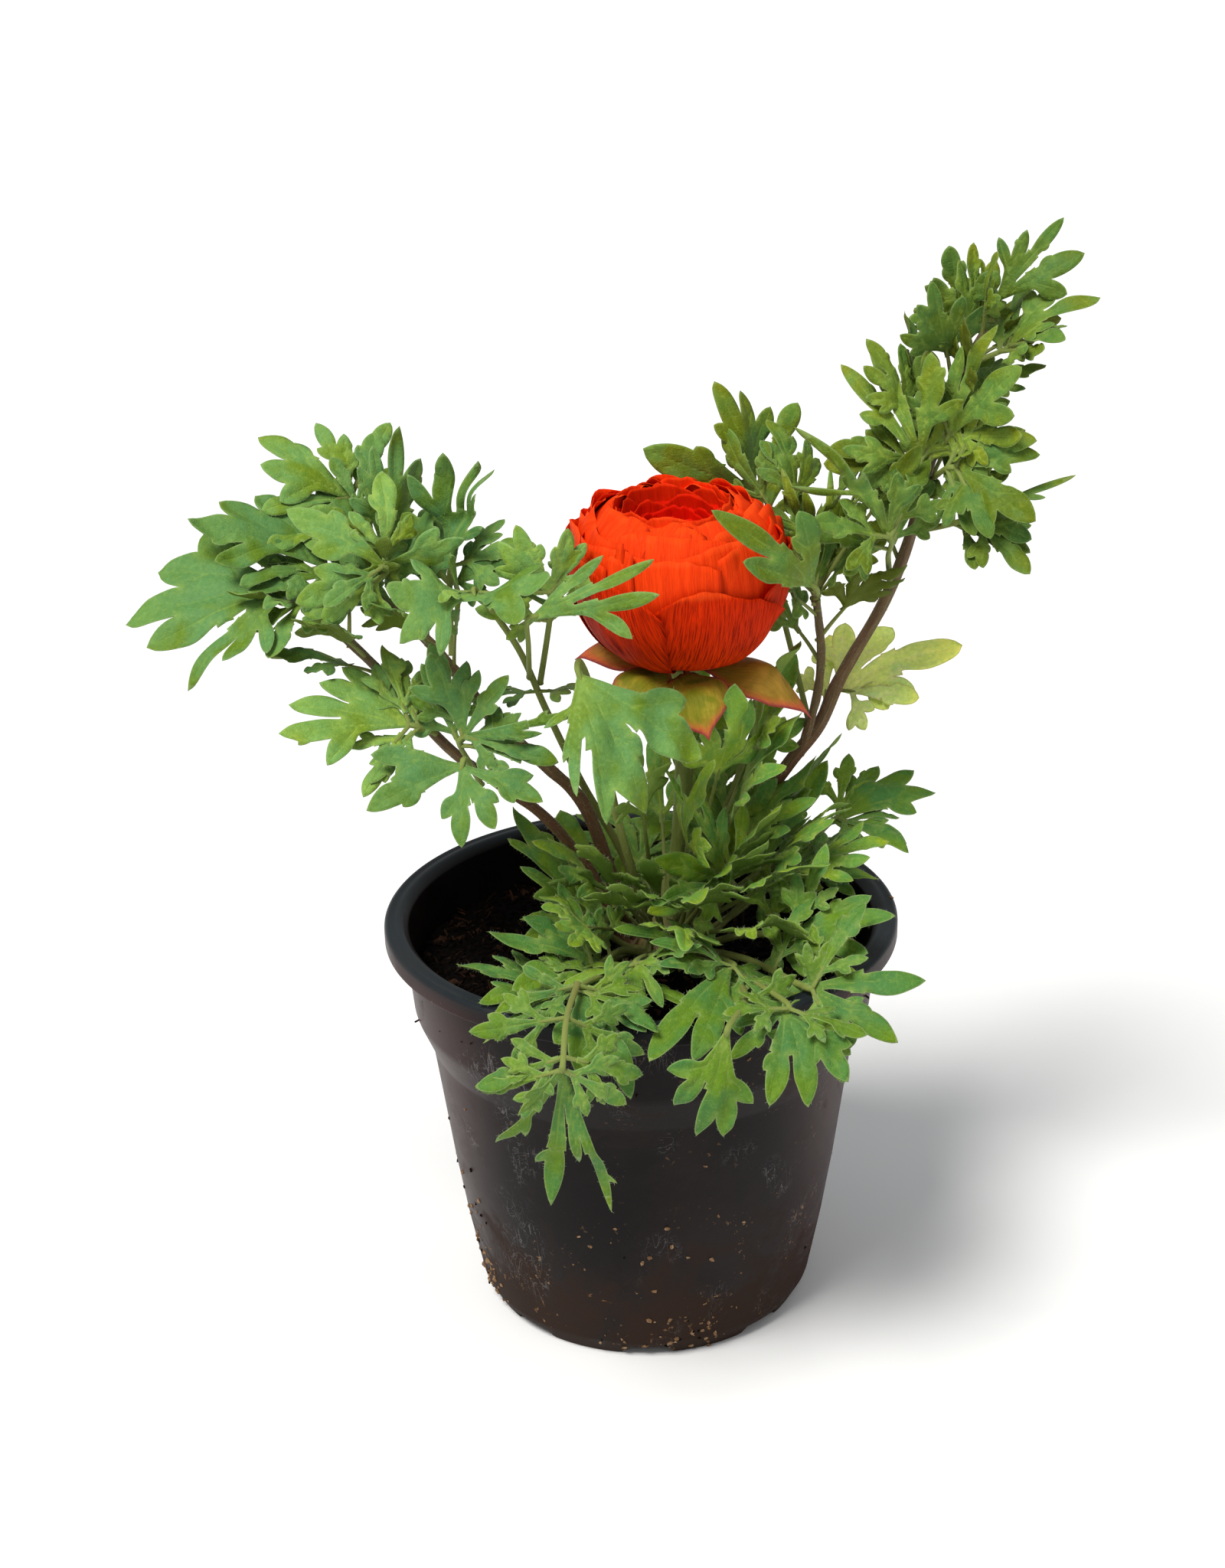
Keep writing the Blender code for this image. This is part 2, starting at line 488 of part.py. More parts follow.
def build_leaf(name, start, passing, foot, tips, joined, width, look, arch=0.07):
    """A stalk and a lobed blade as one closed plate.

    The blade is laid out flat round its foot, outlined, filled with triangles, bent so that its tips
    reach their places, and given thickness. The stalk goes on from the blade's foot.
    """
    foot, tips = np.array(foot, float), np.array(tips, float)
    middle = unit((tips - foot).mean(axis=0))
    upward = np.array((0.0, -0.35, 1.0))
    normal = sum((np.cross(a - foot, b - foot) for a in tips for b in tips if float(np.cross(a - foot, b - foot) @ upward) > 0), np.zeros(3))
    if np.linalg.norm(normal) < 1e-6:
        normal = upward
    normal = unit(normal - middle * float(normal @ middle))
    across = np.cross(normal, middle)
    flat = [np.array(((t - foot) @ middle, (t - foot) @ across)) for t in tips]
    order = sorted(range(len(tips)), key=lambda i: math.atan2(flat[i][1], flat[i][0]))
    flat = [flat[i] for i in order]
    raised = [float((tips[i] - foot) @ normal) for i in order]

    neck_back, neck_half = -2.4, PETIOLE_WIDTH / 2
    neck = [np.array(p) for p in ((neck_back, -neck_half), (1.2, -neck_half), (1.2, neck_half), (neck_back, neck_half))]
    zero = np.zeros(2)
    shapes = [neck, *(lobe_outline(zero, tip, width) for tip in flat)]
    shapes += [[zero, a * joined, b * joined] for a, b in zip(flat, flat[1:])]
    corners, rings = [], []
    for shape in shapes:
        rings.append(list(range(len(corners), len(corners) + len(shape))))
        corners.extend(shape)
    filled = delaunay_2d_cdt([tuple(c) for c in corners], [], rings, 1, 1e-4)
    found = [np.array(p) for p in filled[0]]
    loop = [found[i] for i in outer_loop(found, filled[2])]
    kept = [neck[0], neck[3], *flat]
    loop = thinned(loop, kept, 0.7, 0.12)
    spine = [tip * t for tip in flat for t in (0.34, 0.68)]
    spine = [p for p in spine if inside_by(p, loop) > 0.8]
    layout = delaunay_2d_cdt([tuple(p) for p in loop + spine], [], [list(range(len(loop)))], 1, 1e-4)
    sheet = np.array([tuple(p) for p in layout[0]])
    triangles = layout[2]

    places, heights = [(-6.0, 0.0), (0.0, 0.0)], [0.0, 0.0]
    for tip, high in zip(flat, raised):
        long = float(np.linalg.norm(tip))
        places += [tuple(tip), tuple(tip * 0.5)]
        heights += [high, high * 0.4 + arch * long]
        if len(flat) == 1:
            side = np.array((-tip[1], tip[0])) * width / 2
            places += [tuple(tip * 0.65 + side), tuple(tip * 0.65 - side)]
            heights += [high * 0.55 + 0.3 * arch * long] * 2
    lift = bent_sheet(places, heights, 4.0)
    high = lift(sheet) - lift(np.zeros((1, 2)))[0]
    middle_points = foot + np.outer(sheet[:, 0], middle) + np.outer(sheet[:, 1], across) + np.outer(high, normal)

    facing = np.zeros_like(middle_points)
    for a, b, c in triangles:
        turn = np.cross(middle_points[b] - middle_points[a], middle_points[c] - middle_points[a])
        for i in (a, b, c):
            facing[i] += turn
    facing = np.array([unit(f) for f in facing])
    away = np.linalg.norm(sheet, axis=1)
    half = 0.5 * (LEAF_THICK + (PETIOLE_THICK - LEAF_THICK) * np.exp(-away / 3.0))
    top = middle_points + facing * half[:, None]
    bottom = middle_points - facing * half[:, None]
    n = len(sheet)
    points = [*top, *bottom]
    faces = [tuple(t) for t in triangles] + [(c + n, b + n, a + n) for a, b, c in triangles]
    at_neck = [min(range(n), key=lambda i: float(np.linalg.norm(sheet[i] - end))) for end in (neck[3], neck[0])]
    edges = {(t[k], t[(k + 1) % 3]) for t in triangles for k in range(3)}
    for a, b in sorted(edges):
        if (b, a) not in edges and (a, b) != tuple(at_neck):
            faces.append((a + n, b + n, b, a))

    neck_middle = middle_points[at_neck].mean(axis=0)
    back = unit(neck_middle - foot)
    stalk = smooth_path([neck_middle, *reversed([np.array(p, float) for p in passing]), np.array(start, float)],
                        3 if len(passing) < 2 else 2)  # fmt: skip
    side = unit(middle_points[at_neck[1]] - middle_points[at_neck[0]])
    ring = [at_neck[0], at_neck[1], at_neck[1] + n, at_neck[0] + n]
    frames = carried_frames(np.vstack([neck_middle - back, stalk]), side)[1:]
    for centre, (sideways, up) in list(zip(stalk, frames))[1:]:
        first = len(points)
        w, h = sideways * PETIOLE_WIDTH / 2, up * PETIOLE_THICK / 2
        if float(up @ (points[ring[0]] - points[ring[3]])) < 0:
            h = -h
        points += [centre - w + h, centre + w + h, centre + w - h, centre - w - h]
        a, b, c, d = ring
        e, f, g, k = first, first + 1, first + 2, first + 3
        faces += [(b, a, e, f), (c, b, f, g), (d, c, g, k), (a, d, k, e)]
        ring = [e, f, g, k]
    faces.append((ring[0], ring[3], ring[2], ring[1]))
    return add_object(name, points, faces, look)


# ---- flower ----
def build_petal(name, turn):
    """A cupped petal: a shell round the flower's middle with a rounded rim."""
    curve = smooth_path([(r, 0.0, z) for r, z in PETAL_CURVE], 1)
    curve = np.array([(p[0], p[2]) for p in curve])
    across = 6
    rows = len(curve)
    sheet = np.zeros((rows, across + 1, 3))
    for j in range(across + 1):
        s = 2 * j / across - 1
        reach = 1 - 0.13 * s * s
        for i in range(rows):
            t = i / (rows - 1) * reach * (rows - 1)
            low = min(int(t), rows - 2)
            r, z = curve[low] + (curve[low + 1] - curve[low]) * (t - low)
            angle = math.radians(turn + PETAL_HALF * s)
            sheet[i, j] = (FLOWER[0] + r * math.cos(angle), FLOWER[1] + r * math.sin(angle), CALYX_TOP + z)
    down = np.gradient(sheet, axis=0)
    sideways = np.gradient(sheet, axis=1)
    outward = np.cross(sideways, down)
    outward /= np.linalg.norm(outward, axis=2, keepdims=True)
    outer = (sheet + outward * PETAL_THICK / 2).reshape(-1, 3)
    inner = (sheet - outward * PETAL_THICK / 2).reshape(-1, 3)
    n, wide = len(outer), across + 1
    faces = []
    for i in range(rows - 1):
        for j in range(across):
            a = i * wide + j
            faces.append((a, a + 1, a + 1 + wide, a + wide))
            faces.append((a + n, a + wide + n, a + 1 + wide + n, a + 1 + n))
    rim = [j for j in range(wide)] + [i * wide + across for i in range(1, rows)]
    rim += [(rows - 1) * wide + j for j in range(across - 1, -1, -1)]
    rim += [i * wide for i in range(rows - 2, 0, -1)]
    for a, b in zip(rim, rim[1:] + rim[:1]):
        faces.append((b, a, a + n, b + n))
    add_object(name, [*outer, *inner], faces, "petal")


def build_heart():
    """The packed inner petals as one mass with a hollow at the top."""
    profile = [(0.0, HEART_CURVE[0][1] - 0.3), *HEART_CURVE, (0.0, HEART_CURVE[-1][1] - 1.6)]
    angles = [2 * math.pi * k / 20 for k in range(20)]

    def place(r, z, angle):
        ruffle = 0.35 * math.sin(5 * angle + z / 3) if r > 12 and z > 30 else 0.0
        return (FLOWER[0] + r * math.cos(angle), FLOWER[1] + r * math.sin(angle), CALYX_TOP + z + ruffle)

    points, faces = turned(profile, angles, place)
    add_object("petal_heart", points, faces, "petal_heart")


def main():
    for obj in list(bpy.data.objects):
        bpy.data.objects.remove(obj, do_unlink=True)
    build_pot()
    build_soil()
    build_stems()
    for name, (start, passing, foot, tips, joined, width) in LEAVES.items():
        look = name if name in COLOURS else "leaf"
        build_leaf(name, placed_start(start), [placed(p) for p in passing], placed(foot),
                   [placed(t) for t in tips], joined, width, look)  # fmt: skip
    calyx = np.array((0.0, 0.0, CALYX_TOP))
    for name, (foot, tip, width) in SEPALS.items():
        foot, tip = calyx + foot, calyx + tip
        outward = unit(np.array((foot[0] - FLOWER[0], foot[1] - FLOWER[1], 0.0)))
        build_leaf(name, foot - outward, (), foot + outward * 2.4, (tip,), 0.0, width, "sepal", 0.0)
    for k in range(PETALS):
        build_petal(f"petal_outer_{k + 1}", 270 + 360 / PETALS * k + 12)
    build_heart()


main()
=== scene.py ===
import math

import bpy
import numpy as np
from mathutils import Matrix
from mathutils.geometry import delaunay_2d_cdt


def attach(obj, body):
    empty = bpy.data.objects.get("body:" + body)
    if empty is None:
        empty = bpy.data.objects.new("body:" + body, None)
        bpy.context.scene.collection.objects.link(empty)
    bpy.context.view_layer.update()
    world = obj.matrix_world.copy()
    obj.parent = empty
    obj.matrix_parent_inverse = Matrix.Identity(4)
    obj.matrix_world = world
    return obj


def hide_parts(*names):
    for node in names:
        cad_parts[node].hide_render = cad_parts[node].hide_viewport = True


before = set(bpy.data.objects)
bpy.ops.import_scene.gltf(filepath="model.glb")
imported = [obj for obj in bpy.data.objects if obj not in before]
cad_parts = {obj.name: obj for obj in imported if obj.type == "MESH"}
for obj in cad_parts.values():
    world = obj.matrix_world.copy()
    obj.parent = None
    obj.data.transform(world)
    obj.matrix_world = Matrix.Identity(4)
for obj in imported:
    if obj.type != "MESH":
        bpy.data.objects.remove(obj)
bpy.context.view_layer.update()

MM = 0.001
UP = np.array((0.0, 0.0, 1.0))

# ---- the pot, in millimetres ----
POT_HEIGHT = 106.0
LIP_RADIUS = 65.0
SKIRT_HEIGHT = 5.0
COLLAR_RADIUS = 60.0
COLLAR_FOOT = (58.0, 82.0)
SHOULDER = (54.3, 73.0)
WALL = ((54.0, 71.0), (49.8, 40.0), (43.6, 5.0))
WALL_THICK = 1.2
FOOT_RADIUS = 40.8
FOOT_INNER = 38.0
PAD_RADIUS = 14.0
CHANNEL_HEIGHT = 5.0
NOTCHES = 8
NOTCH_HALF = 8.0  # degrees
NOTCH_HEIGHT = 3.0
DRAINS = 6
DRAIN_RADIUS = 3.5
DRAIN_CIRCLE = 27.0
POT_STEPS = 240  # round the pot

# ---- the soil and the plant, in millimetres ----
SOIL_TOP = 92.0
SOIL_GAP = 0.6
CROWN = (6.0, -2.0)
CROWN_RADIUS = 8.6
CROWN_FOOT = 94.5
CROWN_FEET = {"low": (10.2, 6.5), "high": (7.0, 10.2)}
FLOWER = (11.0, 0.0)
CALYX_TOP = 170.0
LEAF_THICK = 0.34
PETAL_THICK = 0.24
PETAL_ROWS, PETAL_COLUMNS = 26, 31
EDGE_STEP = 0.62  # along a leaf's edge
SHEET_STEP = 0.95  # between the points inside a leaf
HAIR_WIDTH = 0.036
HAIR_LEAN = 0.55
BUD_CURVE = (
    (2.0, 3.0), (9.0, 3.6), (15.0, 5.4), (20.2, 9.6), (24.0, 15.5), (26.3, 22.0), (26.9, 28.0),
    (26.2, 34.0), (23.6, 39.0), (19.6, 42.6), (15.8, 44.3), (12.6, 44.2),
)  # fmt: skip

# Stems: the points a stem passes through, and its radius at both ends.
STEMS = {
    "stem_left_upper": (
        ((158, "low"), (-8, 1, 118), (-14, -1, 136), (-22, -5, 147), (-34, -8, 160),
         (-43, -8, 173), (-52, -8, 184), (-63, -8, 194)), 1.8, 1.2),
    "stem_left_lower": (
        ((186, "low"), (-12, -3, 117), (-23, -6, 134), (-35, -13, 147), (-44, -17, 156),
         (-53, -16, 166), (-61, -14, 176), (-69, -12, 184), (-76, -10, 191)), 1.5, 1.1),
    "stem_right": (
        ((50, "low"), (24, 10, 120), (38, 14, 139), (46, 16, 149), (50, 16, 159), (54, 16, 167),
         (61, 14, 181), (66, 12, 195), (69, 8, 209), (71, 6, 220), (75, 8, 231), (79, 10, 241),
         (84, 12, 250)), 2.0, 1.1),
    "stem_right_side": (
        ((41.5, 14.6, 143), (43.6, 13.4, 151), (45.4, 12.4, 160), (46, 12, 170), (45, 10, 180),
         (44, 8, 187)), 1.2, 1.0),
}  # fmt: skip

# Leaves: where the stalk starts, the points it passes, the foot of the blade, the tips of the lobes,
# how far the lobes are joined (0 to 1), and how wide a lobe is for its length.
LEAVES = {
    "leaf_rosette_01": ((-152, "low"), (), (-11, -8.5, 106.2),
        ((-33, 8, 130), (-34, 0, 125), (-30, -9, 122), (-21, 13, 127)), 0.35, 0.28),
    "leaf_rosette_02": ((94, "low"), ((3, 12, 104),), (0, 17, 110),
        ((-16, 26, 122), (-11, 36, 122), (4, 35, 121), (-16, 16, 121)), 0.35, 0.3),
    "leaf_rosette_03": ((-124, "low"), ((-5, -20, 104),), (-12, -32, 107),
        ((-37, -36, 117), (-29, -30, 118), (-18, -25, 121), (-31, -51, 109)), 0.35, 0.28),
    "leaf_rosette_04": ((-138, "low"), ((-12, -24, 101),), (-24, -42, 104),
        ((-44, -38, 111), (-36, -31, 109), (-38, -53, 108)), 0.35, 0.3),
    "leaf_rosette_05": ((-110, "low"), ((-3, -28, 104),), (-14, -57, 112),
        ((-33, -69, 108), (-37, -65, 104), (-14, -82, 104), (-3, -81, 99), (1, -70, 108)), 0.3, 0.27),
    "leaf_rosette_06": ((-15, -60, 114.6), ((-17, -74, 114),), (-18, -85, 107),
        ((-34, -80, 86), (-28, -90, 98), (-22, -78, 69), (-15, -80, 81), (-8, -77, 66)), 0.3, 0.26),
    "leaf_rosette_07": ((-95, "low"), ((3, -26, 106),), (-1, -42, 111),
        ((-9, -61, 107), (-2, -60, 110), (5, -55, 106), (4, -47, 115)), 0.4, 0.36),
    "leaf_rosette_08": ((-79, "low"), ((14, -26, 106),), (21, -42, 110),
        ((4, -50, 115), (2, -77, 105.5), (12, -76, 105)), 0.4, 0.3),
    "leaf_rosette_09": ((23.4, -44, 107), ((24, -61, 111),), (19, -77, 111),
        ((7, -80, 94), (12, -80, 86), (18, -78, 85)), 0.5, 0.32),
    "leaf_rosette_10": ((-64, "low"), ((22, -34, 105),), (33, -62, 109),
        ((21, -68, 108), (20, -75, 104), (29, -79, 94), (38, -79, 94), (47, -76, 98)), 0.3, 0.26),
    "leaf_rosette_11": ((-42, "low"), ((26, -26, 104),), (40, -49, 108),
        ((39, -47, 119), (46, -44, 118), (66, -54, 112), (59, -64, 101), (48, -67, 101)), 0.28, 0.28),
    "leaf_rosette_12": ((-26, "low"), ((26, -18, 107),), (38, -30, 113),
        ((38, -25, 127), (56, -29, 122), (61, -36, 120), (54, -44, 114)), 0.35, 0.3),
    "leaf_rosette_13": ((73, "low"), ((11, 15, 104),), (14, 24, 110),
        ((1, 41, 121), (10, 47, 124), (20, 47, 121), (28, 40, 118)), 0.35, 0.28),
    "leaf_rosette_14": ((-18, "high"), ((17, -9, 111),), (21, -13, 119),
        ((3, -25, 131), (13, -20, 137), (6, -16, 153), (14, -11, 143)), 0.35, 0.24),
    "leaf_rosette_15": ((29, "low"), ((21, 6, 105),), (30, 10, 112),
        ((44, 14, 118), (49, 22, 137), (34, 24, 139), (28, 17, 127)), 0.4, 0.26),
    "leaf_rosette_16": ((-8, "low"), ((27, 0, 108),), (38, 1, 116),
        ((54, 8, 120), (60, -5, 115), (49, -10, 117)), 0.4, 0.32),
    "leaf_rosette_17": ((12, "low"), ((32, 8, 107),), (51, 19, 121),
        ((63, 33, 131), (72, 31, 131), (77, 25, 127), (68, 8, 120), (58, 9, 118)), 0.3, 0.24),
    "leaf_rosette_18": ((-120, "high"),
        ((1, -14, 114), (-4, -21, 135), (-8, -25, 158), (-11, -26, 176), (-13, -28.5, 183)), (-13, -33, 181),
        ((-17, -44, 164), (-14, -50, 158), (-7, -52, 152), (2, -46, 152), (15, -38, 162)), 0.62, 0.34),
    "leaf_left_01": ((-65, -5, 196.5), ((-67, 4, 205),), (-69, 12, 212),
        ((-90, 16, 227), (-89, 8, 222), (-77, 22, 228), (-70, 19, 226)), 0.5, 0.32),
    "leaf_left_02": ((-66.5, -7.8, 195.5), (), (-74, -2, 199),
        ((-106, -6, 211), (-99, 0, 214), (-91, 6, 214), (-82, 11, 214)), 0.5, 0.32),
    "leaf_left_03": ((-62.0, -11.0, 196.5), (), (-59, -16, 203),
        ((-78, -27, 198), (-80, -15, 217), (-39, -18, 210)), 0.3, 0.36),
    "leaf_left_04": ((-56, -4.5, 189.5), ((-59, 3, 194),), (-61, 8, 200),
        ((-57, 14, 229), (-52, 17, 220), (-63, 11, 225), (-66, 7, 221)), 0.4, 0.26),
    "leaf_left_05": ((-44.5, -4.8, 178.5), (), (-44, 0, 197),
        ((-44, 3, 225), (-37, 6, 222), (-33, 9, 219), (-37, -5, 217)), 0.4, 0.26),
    "leaf_left_06": ((116, "low"), ((-4, 6, 118), (-14, 2, 140), (-22, -7, 163), (-28, -15, 182)),
        (-37, -23, 198),
        ((-54, -35, 190), (-57, -30, 202), (-19, -35, 204), (-25, -39, 197)), 0.45, 0.36),
    "leaf_left_07": ((-77.5, -10, 193.2), (), (-82, -10, 196),
        ((-114, -4, 199), (-121, -12, 188), (-115, -21, 186), (-105, -27, 177), (-96, -28, 184)), 0.68, 0.4),
    "leaf_left_08": ((-49, -20, 163), (), (-54, -23, 166),
        ((-84, -32, 167), (-82, -26, 172), (-75, -21, 176), (-70, -16, 178)), 0.4, 0.26),
    "leaf_left_09": ((-38, -18.5, 149), ((-39, -28, 156),), (-41, -35, 160),
        ((-41, -47, 144), (-63, -43, 152), (-62, -36, 163), (-33, -49, 150), (-22, -43, 153)), 0.35, 0.32),
    "leaf_left_10": ((-40, -21, 155), (), (-41, -24, 163),
        ((-48, -22, 184), (-40, -18, 180), (-30, -20, 177), (-13, -33, 172), (-22, -30, 166)), 0.32, 0.26),
    "leaf_left_11": ((-25.5, -14.5, 175), ((-25, -25, 186),), (-23, -34, 196),
        ((-7, -39, 212), (4, -43, 212), (6, -46, 205)), 0.5, 0.32),
    "leaf_left_12": ((-23.0, -9.5, 172), ((-21, -15, 184),), (-20, -19, 197),
        ((-27, -22, 214), (-31, -22, 210), (-15, -19, 212)), 0.55, 0.4),
    "leaf_right_01": ((85.4, 12.8, 253), (), (87, 14, 257),
        ((93, 14, 273), (102, 18, 275), (106, 10, 268)), 0.5, 0.4),
    "leaf_right_02": ((82.6, 9.4, 243.5), (), (89, 8, 247),
        ((101, 11, 261), (109, 6, 259), (98, 0, 254)), 0.5, 0.36),
    "leaf_right_03": ((78.4, 9.4, 245), (), (79, 10, 251),
        ((77, 10, 267), (71, 5, 264), (82, 16, 270), (67, 14, 255)), 0.5, 0.34),
    "leaf_right_04": ((74.4, 4.6, 224.5), (), (75, 1, 228),
        ((84, -6, 255), (77, -3, 250), (88, -12, 246)), 0.6, 0.32),
    "leaf_right_05": ((68.3, 4.4, 215.5), (), (68, 2, 221),
        ((49, -8, 227), (50, 8, 243), (57, 11, 247), (70, -2, 248)), 0.3, 0.26),
    "leaf_right_06": ((72.6, 3.0, 217.5), (), (76, -4, 221),
        ((91, -8, 231), (94, -11, 226), (92, -21, 213)), 0.45, 0.34),
    "leaf_right_07": ((69, 8.5, 202), ((74, 2, 205),), (80, -4, 209),
        ((82, 1, 222), (90, -3, 215), (104, -6, 219), (93, -14, 206)), 0.35, 0.32),
    "leaf_right_08": ((62.4, 9.6, 190), ((61, 1, 198),), (60, -8, 206),
        ((38, -6, 232), (54, -14, 223), (62, -10, 222)), 0.35, 0.28),
    "leaf_right_09": ((43.6, 4.8, 188), ((43.5, -7, 191.5),), (41.5, -17, 197),
        ((19, -32, 219.5), (25, -33.5, 208), (38, -22, 216.5)), 0.5, 0.34),
    "leaf_right_10": ((44.6, 10.6, 188), (), (45, 13, 193),
        ((41, 9, 213), (47, 5, 210), (48, 17, 217), (36, 14, 217)), 0.5, 0.34),
    "leaf_right_11": ((43.4, 17.6, 150), ((38, 25, 172), (33, 29, 190)), (30, 30, 206),
        ((4, 20, 220), (22, 26, 235), (28, 33, 231)), 0.4, 0.26),
    "leaf_old_yellow": ((43.0, 19.0, 144), ((47, 23, 149),), (52, 26, 155),
        ((82, 24, 168), (66, 36, 168), (54, 37, 169), (70, 16, 158)), 0.6, 0.46),
}  # fmt: skip

# Sepals: the foot and the tip, with their heights above the calyx, and the width for the length.
SEPALS = {
    "sepal_1": ((12.0, -4.6, 1.0), (17, -23, -10), 0.84),
    "sepal_2": ((15.6, -1.2, 1.0), (43, -5, -10.5), 0.5),
    "sepal_3": ((12.6, 4.6, 1.0), (20, 24, -7), 0.8),
    "sepal_4": ((6.4, 1.2, 1.0), (-15, 3, 3), 0.66),
    "sepal_5": ((7.8, -3.6, 1.0), (-6, -20, -6), 0.82),
}


# ---- node trees ----
class Value:
    """What a node puts out. Adding, subtracting or multiplying it adds a node that does so."""

    def __init__(self, net, socket):
        self.net, self.socket = net, socket

    def __add__(self, other):
        return self.net.math("ADD", self, other)

    def __sub__(self, other):
        return self.net.math("SUBTRACT", self, other)

    def __mul__(self, other):
        return self.net.math("MULTIPLY", self, other)


class Net:
    """Adds nodes to a shader or geometry tree. What another node puts out is linked."""

    def __init__(self, tree):
        self.tree = tree

    def node(self, kind, values=(), **settings):
        made = self.tree.nodes.new(kind)
        for key, value in settings.items():
            setattr(made, key, value)
        for key, value in dict(values).items():
            self.feed(made.inputs[key], value)
        return made

    def out(self, kind, values=(), output=0, **settings):
        return Value(self, self.node(kind, values, **settings).outputs[output])

    def feed(self, socket, value):
        if isinstance(value, Value):
            self.tree.links.new(value.socket, socket)
        elif socket.type == "RGBA" and len(value) == 3:
            socket.default_value = (*value, 1.0)
        else:
            socket.default_value = value

    def math(self, operation, a, b=0.0):
        return self.out("ShaderNodeMath", {0: a, 1: b}, operation=operation)

    def vector(self, operation, a, b):
        return self.out("ShaderNodeVectorMath", {0: a, 1: b}, operation=operation)

    def scaled(self, a, share):
        return self.out("ShaderNodeVectorMath", {0: a, "Scale": share}, operation="SCALE")

    def combined(self, x=0.0, y=0.0, z=0.0):
        return self.out("ShaderNodeCombineXYZ", {0: x, 1: y, 2: z})

    def mix(self, share, a, b):
        return self.out("ShaderNodeMix", {0: share, 6: a, 7: b}, 2, data_type="RGBA", clamp_factor=True)

    def shaded(self, share, colour, factors):
        return self.mix(share, colour, self.vector("MULTIPLY", colour, factors))

    def span(self, value, low, high, start=0.0, end=1.0, kind="SMOOTHSTEP"):
        values = {0: value, 1: low, 2: high, 3: start, 4: end}
        return self.out("ShaderNodeMapRange", values, interpolation_type=kind)

    def level(self, value, start, end):
        return self.span(value, 0.0, 1.0, start, end, "LINEAR")

    def noise(self, at, scale, detail=3.0, rough=0.55, twist=0.0, output=0):
        values = {"Vector": at, "Scale": scale, "Detail": detail, "Roughness": rough, "Distortion": twist}
        return self.out("ShaderNodeTexNoise", values, output)

    def stored(self, name, output="Fac"):
        return self.out("ShaderNodeAttribute", (), output, attribute_name=name)

    def place(self):
        return self.out("ShaderNodeTexCoord", (), "Object")

    def effect(self, group, values):
        """Places a shared effect. It returns what the effect puts out, by name."""
        made = self.node("ShaderNodeGroup", values, node_tree=group)
        return {s.name: Value(self, s) for s in made.outputs}


def new_group(name, inputs, outputs, kind="ShaderNodeTree"):
    """A node group with named sockets: inputs are (name, type, value), outputs are (name, type)."""
    tree = bpy.data.node_groups.new(name, kind)
    for title, socket, value in inputs:
        made = tree.interface.new_socket(title, in_out="INPUT", socket_type=f"NodeSocket{socket}")
        if value is not None:
            made.default_value = value
    for title, socket in outputs:
        tree.interface.new_socket(title, in_out="OUTPUT", socket_type=f"NodeSocket{socket}")
    net = Net(tree)
    given = {s.name: Value(net, s) for s in net.node("NodeGroupInput").outputs if s.name}
    return net, given, net.node("NodeGroupOutput").inputs


def leaf_tissue_group():
    """Living leaf: soft patches of green and of bluish bloom that holds painted sheen, veins that show pale, a
    pale margin and an olive underside, which the shoot and old leaves also get darker as painted shade.
    """
    colours = ("Green", "Bloom", "Vein", "Margin", "Underside")
    net, given, out = new_group(
        "leaf tissue",
        [*((title, "Color", (0.1, 0.2, 0.05, 1)) for title in colours), ("Bloom share", "Float", 0.5)],
        [("Colour", "Color"), ("Roughness", "Float"), ("Height", "Float")])  # fmt: skip
    vein, along, tone = net.stored("vein"), net.stored("along"), net.stored("tone")
    at = net.vector("ADD", net.place(), net.combined(tone, tone))
    patches, fine = net.noise(at, 85.0, 2.0, 0.5, 0.4), net.noise(at, 900.0, 4.0, 0.6)
    # Bluish-green patches: partly the leaf's own waxy bloom, partly painted sheen.
    bloom_and_sheen_share = net.span(patches + given["Bloom share"] * 0.4, 0.52, 0.8)
    colour = net.mix(bloom_and_sheen_share, given["Green"], given["Bloom"])
    colour = net.mix(net.span(along, 0.45, 0.05) * 0.3, colour, given["Vein"])
    colour = net.shaded(net.span(along + patches * 0.5, 0.85, 1.25) * 0.55, colour, (1.55, 1.22, 0.7))
    web = net.math("ABSOLUTE", net.noise(at, 420.0, 2.0, 0.5, 0.8) - 0.5)
    for paled in (
        net.stored("cleft") * net.span(patches, 0.35, 0.65, 0.25, 0.75),
        net.span(vein + fine * 0.3, 0.62, 0.2) * net.span(along, 1.0, 0.15, 0.16, 0.72),
        net.span(web, 0.035, 0.008) * 0.22,
    ):
        colour = net.mix(paled, colour, given["Vein"])
    for share, factors in (
        (net.span(fine, 0.45, 0.3) * 0.4, (0.6, 0.7, 0.7)),
        (net.span(fine, 0.45, 0.75) * 0.36, (1.9, 1.5, 1.8)),
        (net.span(tone, 0.35, 1.0) * 0.6, (1.65, 1.4, 1.1)),
        (net.span(tone, 0.6, 0.0) * 0.6, (0.5, 0.62, 0.7)),
    ):
        colour = net.shaded(share, colour, factors)
    colour = net.mix(net.span(net.stored("margin"), 0.34, 0.06) * 0.38, colour, given["Margin"])
    # The underside colour: its own olive, and on the shoot and old leaves also painted shade, as it is darker
    # than the top.
    net.feed(out["Colour"], net.mix(net.stored("under") * 0.8, colour, given["Underside"]))
    net.feed(out["Roughness"], net.span(fine, 0.2, 0.8, 0.46, 0.66, "LINEAR"))
    cell = net.out("ShaderNodeTexVoronoi", {"Vector": net.place(), "Scale": 2600.0})
    net.feed(out["Height"], net.span(vein, 0.5, 0.0) * -0.6 + fine * 0.5 + cell * 0.35)
    return net.tree


